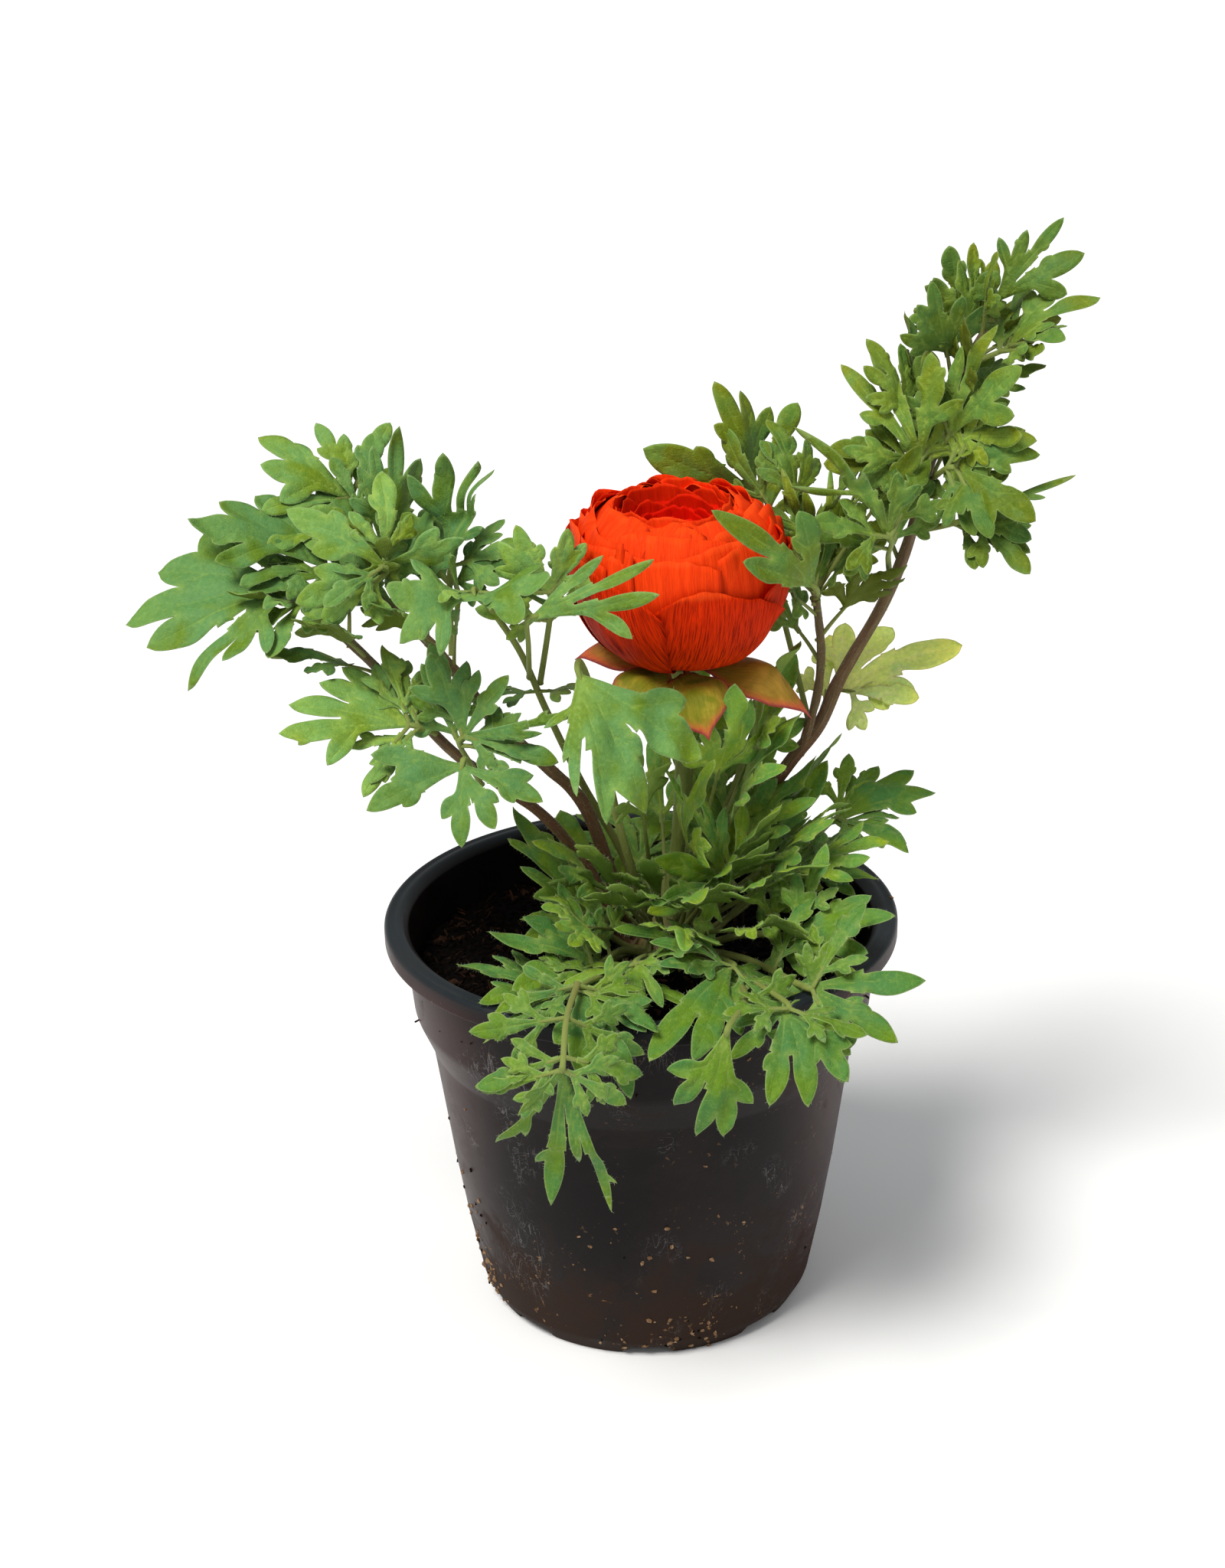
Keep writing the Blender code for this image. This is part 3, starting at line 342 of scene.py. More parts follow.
def streak_group():
    """Fine streaks that run along a petal, a sepal or a stem, read from the piece's grain attribute."""
    net, given, out = new_group(
        "long streaks",
        [("Fineness", "Float", 1.0), ("Break up", "Float", 0.1), ("Sharpness", "Float", 0.5)],
        [("Streak", "Float"), ("Broad", "Float")])  # fmt: skip
    stretch = net.combined(given["Fineness"], given["Break up"], 1.0)
    at = net.vector("MULTIPLY", net.stored("grain", "Vector"), stretch)
    net.feed(out["Streak"], net.span(net.noise(at, 2.2, 4.0, 0.62, 0.35), given["Sharpness"] * 0.8, 0.68))
    net.feed(out["Broad"], net.span(net.noise(at, 0.42, 2.0, 0.5, 0.5), 0.35, 0.68))
    return net.tree


def dirt_group():
    """Dried soil that clings to the pot: smears and grains, thicker where the dirt attribute is high."""
    net, given, out = new_group(
        "clinging soil",
        [("Smear size", "Float", 60.0), ("Grain size", "Float", 700.0)],
        [("Smear", "Float"), ("Grain", "Float"), ("Dust", "Float")])  # fmt: skip
    at, dirt = net.place(), net.stored("dirt")
    cloud = net.noise(at, given["Smear size"], 5.0, 0.62, 0.6)
    net.feed(out["Smear"], net.span(cloud + dirt * 0.34, 0.66, 0.92))
    lumps = net.span(net.noise(at, given["Grain size"], 3.0, 0.6), 0.62, 0.7)
    clump = net.span(net.noise(at, 90.0, 2.0, 0.5), 0.5, 0.66)
    net.feed(out["Grain"], lumps * clump * net.span(dirt, 0.12, 0.6))
    net.feed(out["Dust"], net.span(net.noise(at, 24.0, 6.0, 0.7, 0.3), 0.42, 0.75))
    return net.tree


def scratch_group():
    """Scuffs: short pale strokes in patches, from stretched noise turned two ways."""
    net, given, out = new_group("scuffs", [("Density", "Float", 0.5)], [("Scratch", "Float")])
    at, strokes = net.place(), []
    for turn, stretch in (((0.4, 0.9, 0.2), (300, 300, 46)), ((1.2, -0.5, 1.0), (260, 60, 300))):
        mapped = net.out("ShaderNodeMapping", {"Vector": at, "Rotation": turn, "Scale": stretch})
        middle = net.math("ABSOLUTE", net.noise(mapped, 1.0, 2.0, 0.5, 1.2) - 0.5)
        strokes.append(net.span(middle, 0.014, 0.004))
    patch = net.span(net.noise(at, 44.0, 2.0, 0.5), 0.575, 0.7)
    net.feed(out["Scratch"], net.math("MAXIMUM", *strokes) * patch * given["Density"])
    return net.tree


def build_materials():
    tissue, streaks, dirt, scuffs = leaf_tissue_group(), streak_group(), dirt_group(), scratch_group()
    made = {}

    def finish(name, shine, drawn, bump=0.0, depth=0.0):
        """Adds a material. `drawn` gives the colour, the roughness and the height of its relief."""
        material = made[name] = bpy.data.materials.new(name)
        material.use_nodes = True
        net = Net(material.node_tree)
        shader = material.node_tree.nodes["Principled BSDF"].inputs
        colour, rough, height = drawn(net)
        net.feed(shader["Base Color"], colour)
        net.feed(shader["Roughness"], rough)
        net.feed(shader["Specular IOR Level"], shine)
        if bump:
            relief = {"Strength": bump, "Distance": depth, "Height": height}
            net.feed(shader["Normal"], net.out("ShaderNodeBump", relief))

    def streaked(net, fineness, break_up, sharpness):
        values = {"Fineness": fineness, "Break up": break_up, "Sharpness": sharpness}
        return net.effect(streaks, values).values()

    def leafy(name, bloom_and_sheen_amount, **colours):
        def drawn(net):
            return net.effect(tissue, {**colours, "Bloom share": bloom_and_sheen_amount}).values()

        finish(name, 0.14, drawn, 0.8, 0.00026)

    # The bluish patch colour of each leaf holds painted sheen as well as bloom.
    leafy("rosette leaf", 0.45, Green=(0.135, 0.245, 0.012), Bloom=(0.075, 0.215, 0.045),
          Vein=(0.25, 0.36, 0.06), Margin=(0.34, 0.42, 0.17), Underside=(0.15, 0.23, 0.04))  # fmt: skip
    # The shoot leaves' undersides are darker than their tops: painted shade over their own olive.
    leafy("shoot leaf", 0.55, Green=(0.118, 0.205, 0.010), Bloom=(0.110, 0.255, 0.068),
          Vein=(0.22, 0.35, 0.06), Margin=(0.28, 0.40, 0.15), Underside=(0.085, 0.108, 0.006))  # fmt: skip
    leafy("right shoot leaf", 0.4, Green=(0.112, 0.165, 0.006), Bloom=(0.080, 0.185, 0.034),
          Vein=(0.22, 0.33, 0.05), Margin=(0.26, 0.36, 0.12), Underside=(0.085, 0.100, 0.005))  # fmt: skip
    # The old leaf's colours are its own yellowing green, lifted brighter as painted light where it sits in
    # shade; its darker underside is painted shade.
    leafy("old leaf", 0.1, Green=(0.60, 0.80, 0.20), Bloom=(0.46, 0.76, 0.26), Vein=(0.70, 0.78, 0.34),
          Margin=(0.55, 0.33, 0.14), Underside=(0.40, 0.50, 0.12))  # fmt: skip

    def stalk(net):
        streak, _ = streaked(net, 1.6, 0.12, 0.5)
        colour = net.mix(net.stored("flush"), (0.20, 0.27, 0.055), (0.17, 0.105, 0.045))
        return net.shaded(streak * 0.4, colour, (1.9, 1.7, 1.6)), net.level(streak, 0.5, 0.68), streak

    def woody(net):
        streak, broad = streaked(net, 1.3, 0.08, 0.45)
        colour = net.mix(net.span(net.stored("along"), 0.0, 0.9), (0.230, 0.078, 0.040), (0.165, 0.115, 0.045))
        colour = net.mix(broad * 0.5, colour, (0.16, 0.15, 0.05))
        colour = net.mix(streak * 0.55, colour, (0.07, 0.032, 0.022))
        speck = net.span(net.noise(net.place(), 1500.0, 3.0, 0.7), 0.55, 0.75)
        return net.mix(speck * 0.35, colour, (0.3, 0.22, 0.15)), net.level(streak, 0.48, 0.7), streak

    def petal(low, high, line, fade):
        def drawn(net):
            streak, broad = streaked(net, 1.5, 0.07, 0.52)
            along = net.stored("along")
            colour = net.mix(net.span(along, 0.3, 0.86), low, high)
            colour = net.shaded(broad * 0.35, colour, (0.6, 0.36, 0.5))
            colour = net.mix(streak * net.span(along, 1.0, 0.25, *fade), colour, line)
            colour = net.shaded(net.span(along, 0.42, 0.0) * 0.8, colour, (0.45, 0.2, 0.4))
            # Painted shadow along each petal's side edges, where the petals overlap.
            colour = net.shaded(net.span(net.stored("margin"), 1.5, 0.2) * 0.55, colour, (0.5, 0.22, 0.4))
            rim = net.span(along - broad * 0.012, 0.955, 1.0)
            colour = net.mix(rim * 0.5, colour, (0.92, 0.085, 0.01))
            # Darker and redder where deep is high: partly the inner petals' own deep red, partly painted shade
            # in the hollow and on the petals' inner faces.
            colour = net.shaded(net.stored("deep"), colour, (0.8, 0.14, 0.2))
            return colour, net.level(streak, 0.5, 0.66), streak

        return drawn

    def sepal(net):
        streak, _ = streaked(net, 1.1, 0.12, 0.5)
        margin, cloud = net.stored("margin"), net.noise(net.place(), 170.0, 3.0, 0.55, 0.6)
        colour = net.mix(net.span(cloud, 0.35, 0.7), (0.21, 0.22, 0.012), (0.44, 0.33, 0.035))
        edges = net.span(margin, 2.0, 0.3) + net.span(net.stored("along"), 0.7, 1.0)
        red = edges * net.span(cloud, 0.2, 0.75, 0.55, 1.0) * 0.75 + net.stored("flush") * 0.5
        colour = net.mix(red, colour, (0.62, 0.13, 0.04))
        colour = net.mix(net.span(margin, 0.7, 0.15), colour, (0.42, 0.07, 0.06))
        return net.shaded(streak * 0.3, colour, (0.6, 0.5, 0.5)), net.level(streak, 0.45, 0.62), streak

    def plastic(net):
        soiled = net.effect(dirt, {"Smear size": 55.0, "Grain size": 620.0})
        outside = net.span(net.stored("dirt"), 0.05, 0.25)
        scuffed = net.effect(scuffs, {"Density": 0.8})["Scratch"] * outside
        at = net.place()
        tint = net.noise(at, 14.0, 2.0, 0.5)
        # How far from the middle plane, left or right, for the painted light on the pot's sides.
        across = net.math("ABSOLUTE", net.out("ShaderNodeSeparateXYZ", {0: at}))
        colour = net.mix(net.span(tint, 0.35, 0.65), (0.0045, 0.0036, 0.0036), (0.0085, 0.0052, 0.0048))
        for share, tone in (
            # Painted light: the pot's left and right sides, as seen from the front, tinted a lighter brown.
            (net.span(across + tint * 0.012, 0.036, 0.058) * outside, (0.034, 0.013, 0.012)),
            # The top of the lip gets a painted bluish-grey sheen; then real dust.
            (net.stored("lip"), (0.013, 0.018, 0.021)), (soiled["Dust"] * 0.1, (0.085, 0.062, 0.055)),
            (scuffed * 0.42, (0.24, 0.23, 0.23)), (soiled["Smear"] * 0.42, (0.045, 0.022, 0.012)),
            (soiled["Grain"], (0.26, 0.14, 0.06)),
        ):  # fmt: skip
            colour = net.mix(share, colour, tone)
        height = net.noise(at, 2400.0, 3.0, 0.6) * 0.25 + soiled["Grain"] - scuffed * 0.4
        return colour, net.level(soiled["Dust"], 0.36, 0.52) + soiled["Smear"] * 0.35, height

    def earthy(dark, light, scale):
        def drawn(net):
            at = net.place()
            clod, fine = net.noise(at, scale, 5.0, 0.65, 0.4), net.noise(at, scale * 9, 3.0, 0.7)
            colour = net.mix(net.span(clod, 0.38, 0.72), dark, light)
            paler = tuple(np.multiply(light, (1.7, 1.5, 1.3)))
            colour = net.mix(net.span(fine, 0.5, 0.8) * 0.5, colour, paler)
            return colour, net.span(fine, 0.2, 0.8, 0.72, 0.95, "LINEAR"), clod + fine

        return drawn

    def plain(dark, light, scale, rough):
        return lambda net: (net.mix(net.noise(net.place(), scale), dark, light), rough, None)

    finish("leaf stalk", 0.35, stalk, 0.5, 0.0002)
    finish("woody stem", 0.35, woody, 0.6, 0.0003)
    outer = petal((0.60, 0.034, 0.0005), (0.70, 0.028, 0.0006), (0.10, 0.002, 0.001), (0.65, 1.0))
    inner = petal((0.66, 0.018, 0.001), (0.90, 0.055, 0.005), (0.46, 0.007, 0.001), (0.25, 0.8))
    finish("outer petal", 0.03, outer, 0.4, 0.0003)
    finish("inner petal", 0.03, inner, 0.4, 0.0003)
    finish("sepal", 0.12, sepal, 0.4, 0.0002)
    finish("pot plastic", 0.11, plastic, 0.5, 0.0003)
    for name, dark, light, scale, shine in (
        ("damp soil", (0.0012, 0.0008, 0.0006), (0.0045, 0.0026, 0.0018), 420.0, 0.06),
        ("soil crumb", (0.0018, 0.0012, 0.0009), (0.010, 0.0055, 0.0033), 700.0, 0.06),
        ("bark chip", (0.012, 0.005, 0.0025), (0.06, 0.025, 0.011), 300.0, 0.1),
        ("tan grit", (0.20, 0.10, 0.045), (0.45, 0.30, 0.17), 900.0, 0.2),
    ):
        finish(name, shine, earthy(dark, light, scale), 0.8, 0.0006)
    finish("fine hair", 0.3, plain((0.30, 0.36, 0.2), (0.5, 0.54, 0.4), 300.0, 0.6))
    finish("pale floor", 0.1, plain((0.86, 0.86, 0.86), (0.88, 0.88, 0.88), 3.0, 0.9))
    return made


# ---- what repeats, made by Geometry Nodes ----
def scatter_tree(shape):
    """Scatters a small shape over faces, as thick as the named attribute says, leaning and sized at random."""
    net, given, out = new_group(
        f"scattered {shape}",
        [("Geometry", "Geometry", None), ("Density", "Float", 1e6), ("Spread by", "String", "fuzz"),
         ("Length", "Float", 0.001), ("Width", "Float", 0.00004), ("Smallest", "Float", 0.5),
         ("Lean", "Float", 0.5), ("Sink", "Float", 0.0), ("Seed", "Int", 0), ("Material", "Material", None)],
        [("Geometry", "Geometry")], "GeometryNodeTree")  # fmt: skip

    def random_value(kind, low, high, step):
        made = net.node("FunctionNodeRandomValue", data_type=kind)
        sockets = [s for s in made.inputs if s.enabled and not s.hide and s.name in ("Min", "Max")]
        net.feed(sockets[0], low)
        net.feed(sockets[1], high)
        net.feed(made.inputs["Seed"], given["Seed"] + float(step))
        return Value(net, [s for s in made.outputs if s.enabled][0])

    amount = net.out("GeometryNodeInputNamedAttribute", {"Name": given["Spread by"]}, data_type="FLOAT")
    spots = {"Mesh": given["Geometry"], "Density": amount * given["Density"], "Seed": given["Seed"]}
    spread = net.node("GeometryNodeDistributePointsOnFaces", spots)
    lean = net.scaled(random_value("FLOAT_VECTOR", (-1.0,) * 3, (1.0,) * 3, 11), given["Lean"])
    direction = net.vector("ADD", Value(net, spread.outputs["Normal"]), lean)
    upright = net.out("FunctionNodeAlignRotationToVector", {"Vector": direction}, axis="Z")
    spin = net.combined(z=random_value("FLOAT", 0.0, 6.2832, 23))
    turns = {"Rotation": upright, "Rotate By": net.out("FunctionNodeEulerToRotation", {0: spin})}
    turned_way = net.out("FunctionNodeRotateRotation", turns, rotation_space="LOCAL")
    size = random_value("FLOAT", given["Smallest"], 1.0, 37)
    wide, tall = given["Width"] * size, given["Length"] * size
    if shape == "hair":
        cone = {"Vertices": 3, "Radius Top": 0.0, "Radius Bottom": 1.0, "Depth": 1.0}
        piece = net.out("GeometryNodeMeshCone", cone, fill_type="NONE")
    elif shape == "crumb":
        piece = net.out("GeometryNodeMeshIcoSphere", {"Radius": 1.0, "Subdivisions": 1})
    else:
        rod = {"Vertices": 5, "Side Segments": 4, "Radius": 1.0, "Depth": 2.0}
        along = net.out("ShaderNodeSeparateXYZ", {0: net.out("GeometryNodeInputPosition")}, 2)
        bow = net.combined(along * along * 1.6)
        bent = {"Geometry": net.out("GeometryNodeMeshCylinder", rod), "Offset": bow}
        piece = net.out("GeometryNodeSetPosition", bent)
    scale = net.combined(wide, wide * (1.0 if shape == "hair" else 0.62), tall)
    placed = {"Points": Value(net, spread.outputs["Points"]), "Instance": piece,
              "Rotation": turned_way, "Scale": scale}  # fmt: skip
    sunk = {"Instances": net.out("GeometryNodeInstanceOnPoints", placed), "Local Space": True,
            "Translation": net.combined(z=given["Sink"])}  # fmt: skip
    real = net.out("GeometryNodeRealizeInstances", {0: net.out("GeometryNodeTranslateInstances", sunk)})
    if shape == "crumb":
        rough = net.noise(net.out("GeometryNodeInputPosition"), 1400.0, 2.0, 0.5, output=1)
        push = net.scaled(net.vector("SUBTRACT", rough, (0.5, 0.5, 0.5)), given["Width"] * 1.2)
        real = net.out("GeometryNodeSetPosition", {"Geometry": real, "Offset": push})
    painted = net.out("GeometryNodeSetMaterial", {"Geometry": real, "Material": given["Material"]})
    joined = net.node("GeometryNodeJoinGeometry", {0: painted})
    net.feed(joined.inputs[0], given["Geometry"])
    net.feed(out["Geometry"], Value(net, joined.outputs[0]))
    return net.tree


def grown(obj, tree, **values):
    """Runs a geometry tree on an object once and keeps the result as its plain mesh."""
    modifier = obj.modifiers.new(tree.name, "NODES")
    modifier.node_group = tree
    items = [s for s in tree.interface.items_tree if s.item_type == "SOCKET" and s.in_out == "INPUT"]
    sockets = {s.name: s.identifier for s in items}
    for name, value in values.items():
        modifier[sockets[name.replace("_", " ").capitalize()]] = value
    return applied(obj)


def applied(obj):
    """Keeps what the object's modifiers make of it as its plain mesh."""
    bpy.context.view_layer.update()
    graph = bpy.context.evaluated_depsgraph_get()
    source = obj.evaluated_get(graph)
    mesh = bpy.data.meshes.new_from_object(source, preserve_all_data_layers=True, depsgraph=graph)
    obj.modifiers.clear()
    before = obj.data
    obj.data = mesh
    bpy.data.meshes.remove(before)
    mesh.name = obj.name
    return obj


# ---- meshes ----
class Shape:
    """Points, faces, and what each point knows about itself, gathered before the mesh is made."""

    def __init__(self):
        self.points, self.faces, self.looks, self.known = [], [], [], {}

    def add(self, points, faces, look, **known):
        first = len(self.points)
        self.points.extend(points)
        self.faces.extend(tuple(i + first for i in face) for face in faces)
        self.looks.extend([look] * len(faces))
        for name in set(known) | set(self.known):
            column = self.known.setdefault(name, [0.0] * first)
            value = known.get(name, 0.0)
            column.extend([value] * len(points) if np.ndim(value) == 0 else list(value))

    def mesh(self, name, materials):
        mesh = bpy.data.meshes.new(name)
        mesh.from_pydata([tuple(float(c) * MM for c in p) for p in self.points], [], self.faces)
        for material in materials:
            mesh.materials.append(material)
        mesh.polygons.foreach_set("material_index", self.looks)
        mesh.polygons.foreach_set("use_smooth", [True] * len(self.faces))
        for title, column in self.known.items():
            wide = any(np.ndim(v) for v in column[:1] + column[-1:])
            layer = mesh.attributes.new(title, "FLOAT_VECTOR" if wide else "FLOAT", "POINT")
            flat = np.array([v if np.ndim(v) else (v, v, v) for v in column] if wide else column, np.float32)
            layer.data.foreach_set("vector" if wide else "value", flat.ravel())
        mesh.validate()
        obj = bpy.data.objects.new(name, mesh)
        bpy.context.scene.collection.objects.link(obj)
        return obj


def both(values):
    """The values of a sheet's one face, and again for its other face."""
    return np.concatenate([values, values])


def unit(vector):
    return vector / max(1e-9, float(np.linalg.norm(vector)))


def smooth_path(points, per_span):
    """A Catmull-Rom curve through the points."""
    points = np.array(points, float)
    padded = np.vstack([2 * points[0] - points[1], points, 2 * points[-1] - points[-2]])
    path = []
    for a, b, c, d in zip(padded, padded[1:], padded[2:], padded[3:]):
        for k in range(per_span):
            t = k / per_span
            path.append(0.5 * (2 * b + (c - a) * t + (2 * a - 5 * b + 4 * c - d) * t * t
                               + (3 * b - a - 3 * c + d) * t**3))  # fmt: skip
    return np.array([*path, points[-1]])


def ripple(rng, count=5, low=0.5, high=3.0):
    """A smooth random wave of one value, between about -1 and 1."""
    waves = [(rng.uniform(low, high), rng.uniform(0, 2 * math.pi)) for _ in range(count)]
    return lambda x: sum(np.sin(f * np.asarray(x) + p) for f, p in waves) / math.sqrt(count)


def tube(path, radii, sides, first_side=(0.31, 0.95, 0.02), flat=1.0, ribs=0.0):
    """A closed tube: points, faces, and each point's grain (round, along) in millimetres."""
    points, faces, grain = [], [], []
    side = np.array(first_side, float)
    gone = 0.0
    for i, centre in enumerate(path):
        along = unit(path[min(i + 1, len(path) - 1)] - path[max(i - 1, 0)])
        side = unit(side - along * float(side @ along))
        up = np.cross(along, side)
        if i:
            gone += float(np.linalg.norm(centre - path[i - 1]))
        for k in range(sides):
            angle = 2 * math.pi * k / sides
            radius = radii[i] * (1 + ribs * math.cos(5 * angle))
            points.append(centre + radius * (math.cos(angle) * side + flat * math.sin(angle) * up))
            grain.append((2.5 * math.cos(angle), gone, 2.5 * math.sin(angle)))
    for i in range(len(path) - 1):
        for k in range(sides):
            a, b = i * sides + k, i * sides + (k + 1) % sides
            faces.append((a, b, b + sides, a + sides))
    last = (len(path) - 1) * sides
    faces.append(tuple(reversed(range(sides))))
    faces.append(tuple(range(last, last + sides)))
    return points, faces, grain


def turned(profile, angles, place):
    """A closed body turned about the vertical. A profile point on the axis becomes one point."""
    points, faces, rows = [], [], []
    for r, z in profile:
        if r == 0:
            rows.append([len(points)])
            points.append(place(0.0, z, 0.0))
        else:
            rows.append(list(range(len(points), len(points) + len(angles))))
            points.extend(place(r, z, angle) for angle in angles)
    for low, high in zip(rows, rows[1:]):
        for k in range(len(angles)):
            n = (k + 1) % len(angles)
            corners = [low[k % len(low)], low[n % len(low)], high[n % len(high)], high[k % len(high)]]
            faces.append(tuple(dict.fromkeys(corners)))
    return points, faces


# ---- pot and soil ----
def rounded(profile, radius, steps=3):
    """The profile with its corners rounded, and its long runs cut into shorter ones."""
    out = [np.array(profile[0], float)]
    corners = [np.array(p, float) for p in profile]
    for before, here, after in zip(corners, corners[1:], corners[2:]):
        reach = min(radius, 0.45 * np.linalg.norm(here - before), 0.45 * np.linalg.norm(after - here))
        start, end = here + unit(before - here) * reach, here + unit(after - here) * reach
        for k in range(steps + 1):
            t = k / steps
            out.append((1 - t) ** 2 * start + 2 * t * (1 - t) * here + t * t * end)
    out.append(corners[-1])
    fine = [out[0]]
    for a, b in zip(out, out[1:]):
        pieces = max(1, int(np.linalg.norm(b - a) / 6))
        fine.extend(a + (b - a) * (k + 1) / pieces for k in range(pieces))
    return [tuple(p) for p in fine]


def build_pot(materials):
    lip, top = LIP_RADIUS, POT_HEIGHT
    inner = COLLAR_RADIUS - WALL_THICK
    outside = [
        (PAD_RADIUS, 0.0), (PAD_RADIUS + 2, CHANNEL_HEIGHT), (FOOT_INNER - 2, CHANNEL_HEIGHT),
        (FOOT_INNER, 0.0), (FOOT_RADIUS, 0.0), WALL[2], (46.9, 22.0), WALL[1], WALL[0], SHOULDER,
        (COLLAR_FOOT[0], COLLAR_FOOT[1] - 0.2), (COLLAR_FOOT[0] + 0.4, COLLAR_FOOT[1] + 1.2),
        (COLLAR_RADIUS, top - SKIRT_HEIGHT - 1), (COLLAR_RADIUS + 0.1, top - 1.3),
        (lip - WALL_THICK, top - 1.3), (lip - WALL_THICK, top - SKIRT_HEIGHT), (lip, top - SKIRT_HEIGHT),
        (lip, top - 0.9), (lip - 0.9, top - 0.05), (lip - 2.4, top - 0.35), (COLLAR_RADIUS + 1.4, top),
        (COLLAR_RADIUS + 0.4, top - 0.2), (inner, top - 1.8), (COLLAR_FOOT[0] - WALL_THICK, COLLAR_FOOT[1]),
        (SHOULDER[0] - WALL_THICK, SHOULDER[1] - 1), (WALL[1][0] - WALL_THICK, WALL[1][1]),
        (WALL[2][0] - WALL_THICK, CHANNEL_HEIGHT + 1.6), (PAD_RADIUS + 3, CHANNEL_HEIGHT + 1.2),
        (PAD_RADIUS + 0.8, 1.4),
    ]  # fmt: skip
    profile = [(0.0, 0.0), *rounded(outside, 0.55), (0.0, 1.4)]
    angles = [2 * math.pi * k / POT_STEPS for k in range(POT_STEPS)]
    step = 360 / NOTCHES

    def place(r, z, angle):
        from_notch = abs((math.degrees(angle) + 90 + step / 2) % step - step / 2)
        if z < NOTCH_HEIGHT and FOOT_INNER - 1.4 < r < WALL[2][0]:
            share = min(1.0, max(0.0, (NOTCH_HALF + 1.4 - from_notch) / 2.2))
            share = share * share * (3 - 2 * share)
            z = z + (NOTCH_HEIGHT - z) * share
            r = r + (1.5 if r > 39.4 else -1.0) * share
        swell = 0.12 * math.sin(3 * angle + 0.7) * min(1.0, z / 60)
        return ((r + swell) * math.cos(angle), (r + swell) * math.sin(angle), z)

    points, faces = turned(profile, angles, place)
    shape = Shape()
    heights = np.array([p[2] for p in points])
    outward = np.hypot([p[0] for p in points], [p[1] for p in points])
    # The top of the lip, which gets a painted bluish-grey sheen.
    lip_sheen = np.clip((heights - (top - 2.2)) / 1.6, 0, 1) * (outward > COLLAR_RADIUS)
    outer = outward > np.interp(heights, (0, 5, 40, 72, 82, 101, 106), (37, 42.8, 49, 53.3, 57.2, 59.2, 64.2))
    dirt = np.clip((46 - heights) / 40, 0, 1) ** 1.2 * outer + 0.3 * outer
    rng = np.random.default_rng(12)
    turn = np.array([math.atan2(p[1], p[0]) for p in points])
    cluster = 1.5 * ripple(rng, 5, 2.0, 9.0)(turn) + 1.1 * ripple(rng, 4, 0.1, 0.35)(heights) + 0.1
    specks = np.clip(dirt - 0.3, 0.012, 1) ** 1.2 * outer * (heights > 1.5)
    specks = specks * np.clip(cluster, 0.12, 1) ** 3
    shape.add(points, faces, 0, lip=lip_sheen, dirt=dirt, specks=specks)
    pot = shape.mesh("pot_body", [materials["pot plastic"]])
    cutters = Shape()
    for n in range(DRAINS):
        angle = 2 * math.pi * (n + 0.25) / DRAINS
        ring = [2 * math.pi * k / 32 for k in range(32)]
        middle = np.array((DRAIN_CIRCLE * math.cos(angle), DRAIN_CIRCLE * math.sin(angle), 0.0))
        column, sides = turned(((0.0, 2.0), (DRAIN_RADIUS, 2.0), (DRAIN_RADIUS, 9.0), (0.0, 9.0)), ring,
                               lambda r, z, a: middle + (r * math.cos(a), r * math.sin(a), z))  # fmt: skip
        cutters.add(column, sides, 0)
    cutter = cutters.mesh("drain_cutters", [materials["pot plastic"]])
    cut = pot.modifiers.new("drains", "BOOLEAN")
    cut.operation, cut.solver, cut.object = "DIFFERENCE", "EXACT", cutter
    applied(pot)
    bpy.data.objects.remove(cutter)
    grit, crumb = materials["tan grit"], materials["soil crumb"]
    spread = {"Spread_by": "specks", "Lean": 0.3}
    grown(pot, TREES["crumb"], **spread, Density=0.24e6, Length=0.0006, Width=0.0010, Smallest=0.2,
          Seed=4, Material=grit)  # fmt: skip
    grown(pot, TREES["crumb"], **spread, Density=0.06e6, Length=0.0004, Width=0.0008, Smallest=0.3,
          Seed=9, Material=crumb)  # fmt: skip
    return pot


def soil_height(x, y):
    """The soil's surface: higher at the crown, lower at the wall, with slow bumps."""
    away = math.hypot(x - CROWN[0], y - CROWN[1])
    rise = 1.6 * math.exp(-((away / 22) ** 2))
    bumps = 0.9 * math.sin(x / 7.3 + 1.0) * math.cos(y / 8.1) + 0.6 * math.sin((x - y) / 4.9 + 2.0)
    return SOIL_TOP + rise + bumps * (1 - math.exp(-((away / 14) ** 2)))


